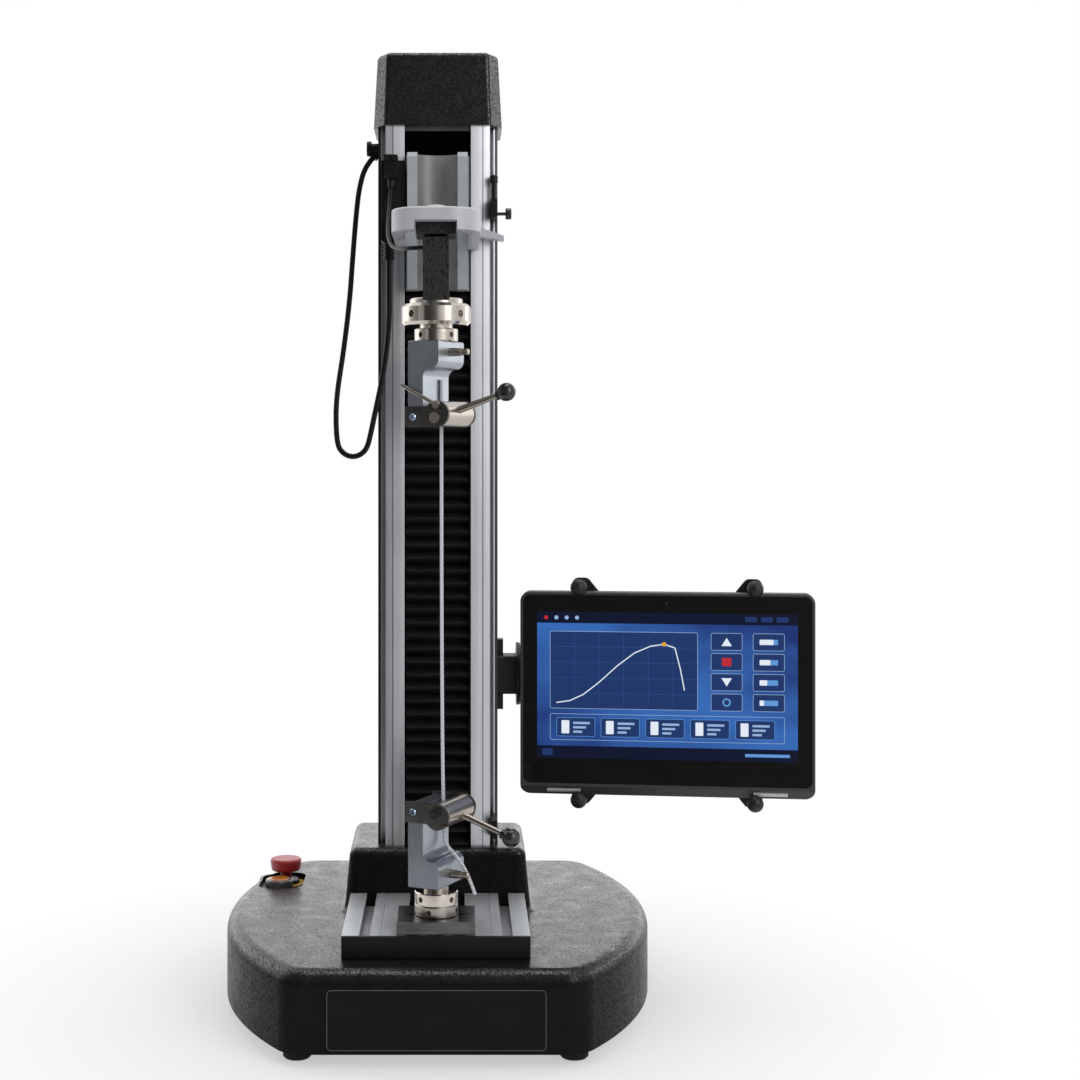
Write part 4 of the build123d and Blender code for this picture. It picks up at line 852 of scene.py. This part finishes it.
class Panel:
    # Flat shapes stacked a hair apart towards the viewer, in shares of the display's width and height
    def __init__(self, work):
        self.work = work

    def place(self, u, w):
        return (-screen_x + 2 * screen_x * u, screen_low + (screen_high - screen_low) * w)

    def shape(self, points, layer, colour):
        y = -(layer_first + layer_step * layer) * MM
        face = self.work.faces.new([self.work.verts.new((x, y, z)) for x, z in points])
        face.material_index = colour

    def tile(self, u0, w0, u1, w1, layer, colour, r=1.5 * MM):
        x0, z0 = self.place(u0, w0)
        x1, z1 = self.place(u1, w1)
        self.shape(rounded(x0, x1, z0, z1, r), layer, colour)

    def framed(self, u0, w0, u1, w1, layer, line, fill):
        x0, z0 = self.place(u0, w0)
        x1, z1 = self.place(u1, w1)
        box = (x0, x1, z0, z1)
        self.shape(inset(box, 0.0, frame_r), layer, line)
        self.shape(inset(box, frame_line, frame_r - frame_line), layer + 1, fill)

    def disc(self, u, w, radius, layer, colour):
        x, z = self.place(u, w)
        self.shape(ring_points(x, z, radius, disc_sides), layer, colour)

    def poly(self, points, layer, colour):
        self.shape([self.place(u, w) for u, w in points], layer, colour)

    def stroke(self, points, width, layer, colour):
        places = [Vector(self.place(u, w)) for u, w in points]
        for a, b in zip(places, places[1:]):
            side = Vector((-(b - a).y, (b - a).x)).normalized() * width / 2
            self.shape([a + side, b + side, b - side, a - side], layer, colour)


def on_plot(u, w):
    return (0.075 + 0.52 * u, 0.38 + 0.48 * w)


def build_screen(work):
    ui = Panel(work)
    ui.tile(0, 0, 1, 1, 0, BLUE, 0.6 * MM)
    ui.tile(0, 0.925, 1, 1, 1, NAVY, 0.5 * MM)
    ui.tile(0, 0, 1, 0.085, 1, NAVY, 0.5 * MM)
    for i in range(4):
        ui.disc(0.035 + 0.04 * i, 0.9625, 2.0 * MM, 2, (RED, LINE, LINE, LINE)[i])
    for i in range(3):
        ui.tile(0.8 + 0.06 * i, 0.945, 0.845 + 0.06 * i, 0.98, 2, TILE, 0.8 * MM)
    # Plot with a rising pull curve
    ui.framed(0.05, 0.34, 0.62, 0.87, 1, LINE, TILE)
    for i in range(1, 6):
        u = 0.05 + 0.57 * i / 6
        ui.stroke([(u, 0.36), (u, 0.85)], 0.2 * MM, 3, BLUE)
    for i in range(1, 5):
        w = 0.34 + 0.53 * i / 5
        ui.stroke([(0.06, w), (0.61, w)], 0.2 * MM, 3, BLUE)
    peak = (0.8, 0.85)
    curve = [
        (0.0, 0.0), (0.1, 0.03), (0.2, 0.12), (0.32, 0.3), (0.45, 0.53), (0.58, 0.72), (0.7, 0.82), peak,
        (0.88, 0.8), (0.92, 0.5), (0.95, 0.2),
    ]
    ui.stroke([on_plot(u, w) for u, w in curve], 1.1 * MM, 4, WHITE)
    ui.disc(*on_plot(*peak), 2.2 * MM, 5, AMBER)
    # Column of control tiles
    for i in range(4):
        low = 0.34 + 0.137 * i
        ui.framed(0.67, low, 0.79, low + 0.118, 1, LINE, TILE)
        ui.framed(0.83, low, 0.95, low + 0.118, 1, LINE, TILE)
        middle = low + 0.059
        ui.tile(0.855, middle - 0.018, 0.925, middle + 0.018, 3, SKY, 0.8 * MM)
        ui.tile(0.855, middle - 0.018, 0.872 + 0.012 * i, middle + 0.018, 4, WHITE, 0.8 * MM)
    ui.poly([(0.71, 0.781), (0.75, 0.781), (0.73, 0.837)], 3, WHITE)
    ui.tile(0.712, 0.645, 0.748, 0.701, 3, RED, 0.8 * MM)
    ui.poly([(0.71, 0.564), (0.73, 0.508), (0.75, 0.564)], 3, WHITE)
    ui.disc(0.73, 0.399, 4.2 * MM, 3, SKY)
    ui.disc(0.73, 0.399, 2.6 * MM, 4, TILE)
    # Wide strip with sample cards
    ui.framed(0.05, 0.125, 0.95, 0.305, 1, LINE, BLUE)
    for i in range(5):
        u = 0.075 + 0.172 * i
        ui.framed(u, 0.15, u + 0.15, 0.28, 3, SKY, TILE)
        ui.tile(u + 0.02, 0.17, u + 0.05, 0.26, 5, WHITE, 0.6 * MM)
        for k in range(3):
            ui.tile(u + 0.065, 0.235 - 0.03 * k, u + 0.13 - 0.015 * k, 0.25 - 0.03 * k, 5, LINE, 0.3 * MM)
    ui.tile(0.02, 0.02, 0.06, 0.065, 2, TILE, 0.8 * MM)
    ui.tile(0.8, 0.032, 0.97, 0.053, 2, SKY, 0.6 * MM)


screen = add_object("screen_panel", bpy.data.meshes.new("screen_panel"))
screen_work = bmesh.new()
build_screen(screen_work)
for face in screen_work.faces:
    face.normal_update()
    if face.normal.y > 0:
        face.normal_flip()
screen_work.to_mesh(screen.data)
screen_work.free()
for material in screen_colours:
    screen.data.materials.append(material)
screen.matrix_world = tablet_place
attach(screen, "cradle")


# Camera dot above the display

dot_r = 1.6 * MM
dot_z = 91 * MM
dot_front = -0.2 * MM


def build_camera_dot(work):
    slab(work, ring_points(0.0, dot_z, dot_r, 16), dot_front, 0.0)


dot = add_object("tablet_camera", mesh_from("tablet_camera", build_camera_dot))
dot.data.materials.append(ball_black)
dot.matrix_world = tablet_place
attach(dot, "cradle")


# Yellow legend round the emergency stop

stop_x = -0.165
stop_y = 0.284
legend_outer = 20.5 * MM
legend_inner = 14.8 * MM
legend_low = 79.2 * MM
legend_high = legend_low + 0.6 * MM
legend_sides = 48


def build_legend(work):
    levels = (
        (legend_outer, legend_low), (legend_outer, legend_high),
        (legend_inner, legend_high), (legend_inner, legend_low),
    )
    rings = []
    for radius, z in levels:
        places = ring_points(stop_x, stop_y, radius, legend_sides)
        rings.append([work.verts.new((x, y, z)) for x, y in places])
    for a, b in zip(rings, rings[1:] + rings[:1]):
        for i in range(legend_sides):
            j = (i + 1) % legend_sides
            work.faces.new((a[i], a[j], b[j], b[i]))


legend = add_object("stop_legend", mesh_from("stop_legend", build_legend))
legend.data.materials.append(legend_yellow)
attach(legend, "frame")


# Zinc screws on the grips' side plates

screw_r = 3.4 * MM
screw_high = 1.8 * MM
screw_sides = 24
screw_u = -9
screw_v = 29.5
screw_z = -70
socket_r = screw_r * 0.42
socket_level = 3


def build_screw(work):
    levels = (
        (screw_r, 0.0), (screw_r, screw_high * 0.5), (screw_r * 0.75, screw_high),
        (socket_r, screw_high), (socket_r, screw_high * 0.45),
    )
    rings = []
    for level, (r, y) in enumerate(levels):
        ring = []
        for i in range(screw_sides):
            a = 2 * math.pi * i / screw_sides
            socket = 1.0 - 0.13 * math.cos(6 * a) if level >= socket_level else 1.0
            ring.append(work.verts.new((r * socket * math.cos(a), -y, r * socket * math.sin(a))))
        rings.append(ring)
    for a, b in zip(rings, rings[1:]):
        for i in range(screw_sides):
            j = (i + 1) % screw_sides
            work.faces.new((a[i], a[j], b[j], b[i]))
    work.faces.new(rings[-1])
    work.faces.new(list(reversed(rings[0])))


for which, body in (("upper", "crosshead"), ("lower", "frame")):
    for side in (-1, 1):
        mesh = mesh_from("screw", build_screw)
        mesh.materials.append(zinc_blue)
        smooth(mesh, 30)
        screw = add_object(f"{which}_side_screw_{'front' if side < 0 else 'back'}", mesh)
        v = side * screw_v if which == "upper" else -side * screw_v
        turn_round = 0 if side < 0 else math.pi
        place = grip_point(screw_u, v, screw_z, which)
        screw.matrix_world = Matrix.Translation(place) @ Matrix.Rotation(turn + turn_round, 4, "Z")
        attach(screw, body)


# Floor, light and camera

floor_middle = 0.15
floor_reach = 0.75
shadow_reach = 0.22
shadow_end = 0.55


def build_floor(work):
    rim = ring_points(0.0, floor_middle, floor_reach, 96)
    work.faces.new([work.verts.new((x, y, 0.0)) for x, y in rim])


def seen_ray(group):
    # 1 for the rays that see the background: camera, glossy and transmission
    path = group.node("ShaderNodeLightPath").outputs
    seen = group.math("MAXIMUM", path["Is Camera Ray"], path["Is Glossy Ray"])
    return group.math("MAXIMUM", seen, path["Is Transmission Ray"])


def floor_white():
    # White to the eye further out, and with the object's shadow near it
    look = Look("floor_white")
    look.set(Base_Color=look.ramp(look.noise(0.8, 3.0), ((0.3, grey(238)), (0.7, grey(243)))))
    look.set(Roughness=0.7)
    look.set(Specular_IOR_Level=0.2)
    glow = look.node("ShaderNodeEmission")
    x, y = look.axes()[:2]
    away = look.length(x, look.math("SUBTRACT", y, floor_middle))
    share = look.math("MULTIPLY", seen_ray(look), look.spread(away, shadow_reach, shadow_end, 0.45, 1.0))
    mix = look.node("ShaderNodeMixShader")
    look.link(share, mix.inputs[0])
    look.link(look.shader.outputs[0], mix.inputs[1])
    look.link(glow.outputs[0], mix.inputs[2])
    look.link(mix.outputs[0], look.tree.nodes["Material Output"].inputs["Surface"])
    return look.material


floor = add_object("floor", mesh_from("floor", build_floor))
floor.data.materials.append(floor_white())

# World: even grey light, white to the camera, and for metal a gradient in front of the object

world = bpy.data.worlds.new("studio")
scene.world = world
world.use_nodes = True
studio = Nodes(world.node_tree)
background = studio.tree.nodes["Background"].inputs
ambient = (0.42, 0.42, 0.43, 1.0)
side_levels = (
    (0.0, 0.35), (0.1, 0.04), (0.3, 0.05), (0.45, 0.1), (0.52, 0.2), (0.6, 0.6), (0.7, 0.95), (0.9, 0.9),
    (1.0, 0.7),
)
separate = studio.node("ShaderNodeSeparateXYZ")
studio.link(studio.node("ShaderNodeTexCoord").outputs["Generated"], separate.inputs[0])
to_right, to_back = separate.outputs[:2]
sides = studio.ramp(
    studio.math("MULTIPLY_ADD", to_right, 0.5, 0.5),
    [(at, (level, level, level, 1.0)) for at, level in side_levels],
)
surround = studio.mixed(studio.spread(to_back, -0.15, 0.3, 0.0, 1.0), sides, PURE_WHITE)
glossy = studio.node("ShaderNodeLightPath").outputs["Is Glossy Ray"]
shown = studio.mixed(glossy, PURE_WHITE, surround)
studio.link(studio.mixed(seen_ray(studio), ambient, shown), background["Color"])
background["Strength"].default_value = 1.0


def softbox(name, place, aim, size, power):
    lamp = bpy.data.lights.new(name, "AREA")
    lamp.shape = "RECTANGLE"
    lamp.size, lamp.size_y = size
    lamp.energy = power
    obj = add_object(name, lamp)
    obj.location = place
    obj.rotation_euler = (Vector(aim) - Vector(place)).to_track_quat("-Z", "Y").to_euler()


softbox("key_right", (1.3, -1.5, 1.5), (0, 0.1, 0.45), (0.9, 1.4), 15)
softbox("fill_left", (-1.6, -1.3, 1.1), (0, 0.1, 0.4), (0.8, 1.2), 1)
softbox("rim_left", (-1.5, 1.0, 1.1), (0, 0.15, 0.5), (1.4, 2.0), 7)
softbox("rim_right", (1.6, 1.1, 1.1), (0, 0.15, 0.5), (0.7, 1.4), 4)
softbox("back", (0, 1.6, 0.34), (0, 0.1, 0.12), (3.0, 0.24), 3.6)
softbox("top", (0, 0.2, 2.3), (0, 0.15, 0), (1.2, 1.2), 12)

camera = bpy.data.cameras.new("camera")
camera.sensor_width = 36
camera.lens = 61.67
camera.shift_x = 0.0787
camera.shift_y = -0.0926
eye = add_object("camera", camera)
eye.location = (0.0174, -1.713, 0.557)
eye.rotation_euler = (math.radians(90), 0, 0)
scene.camera = eye
scene.view_settings.view_transform = "Standard"
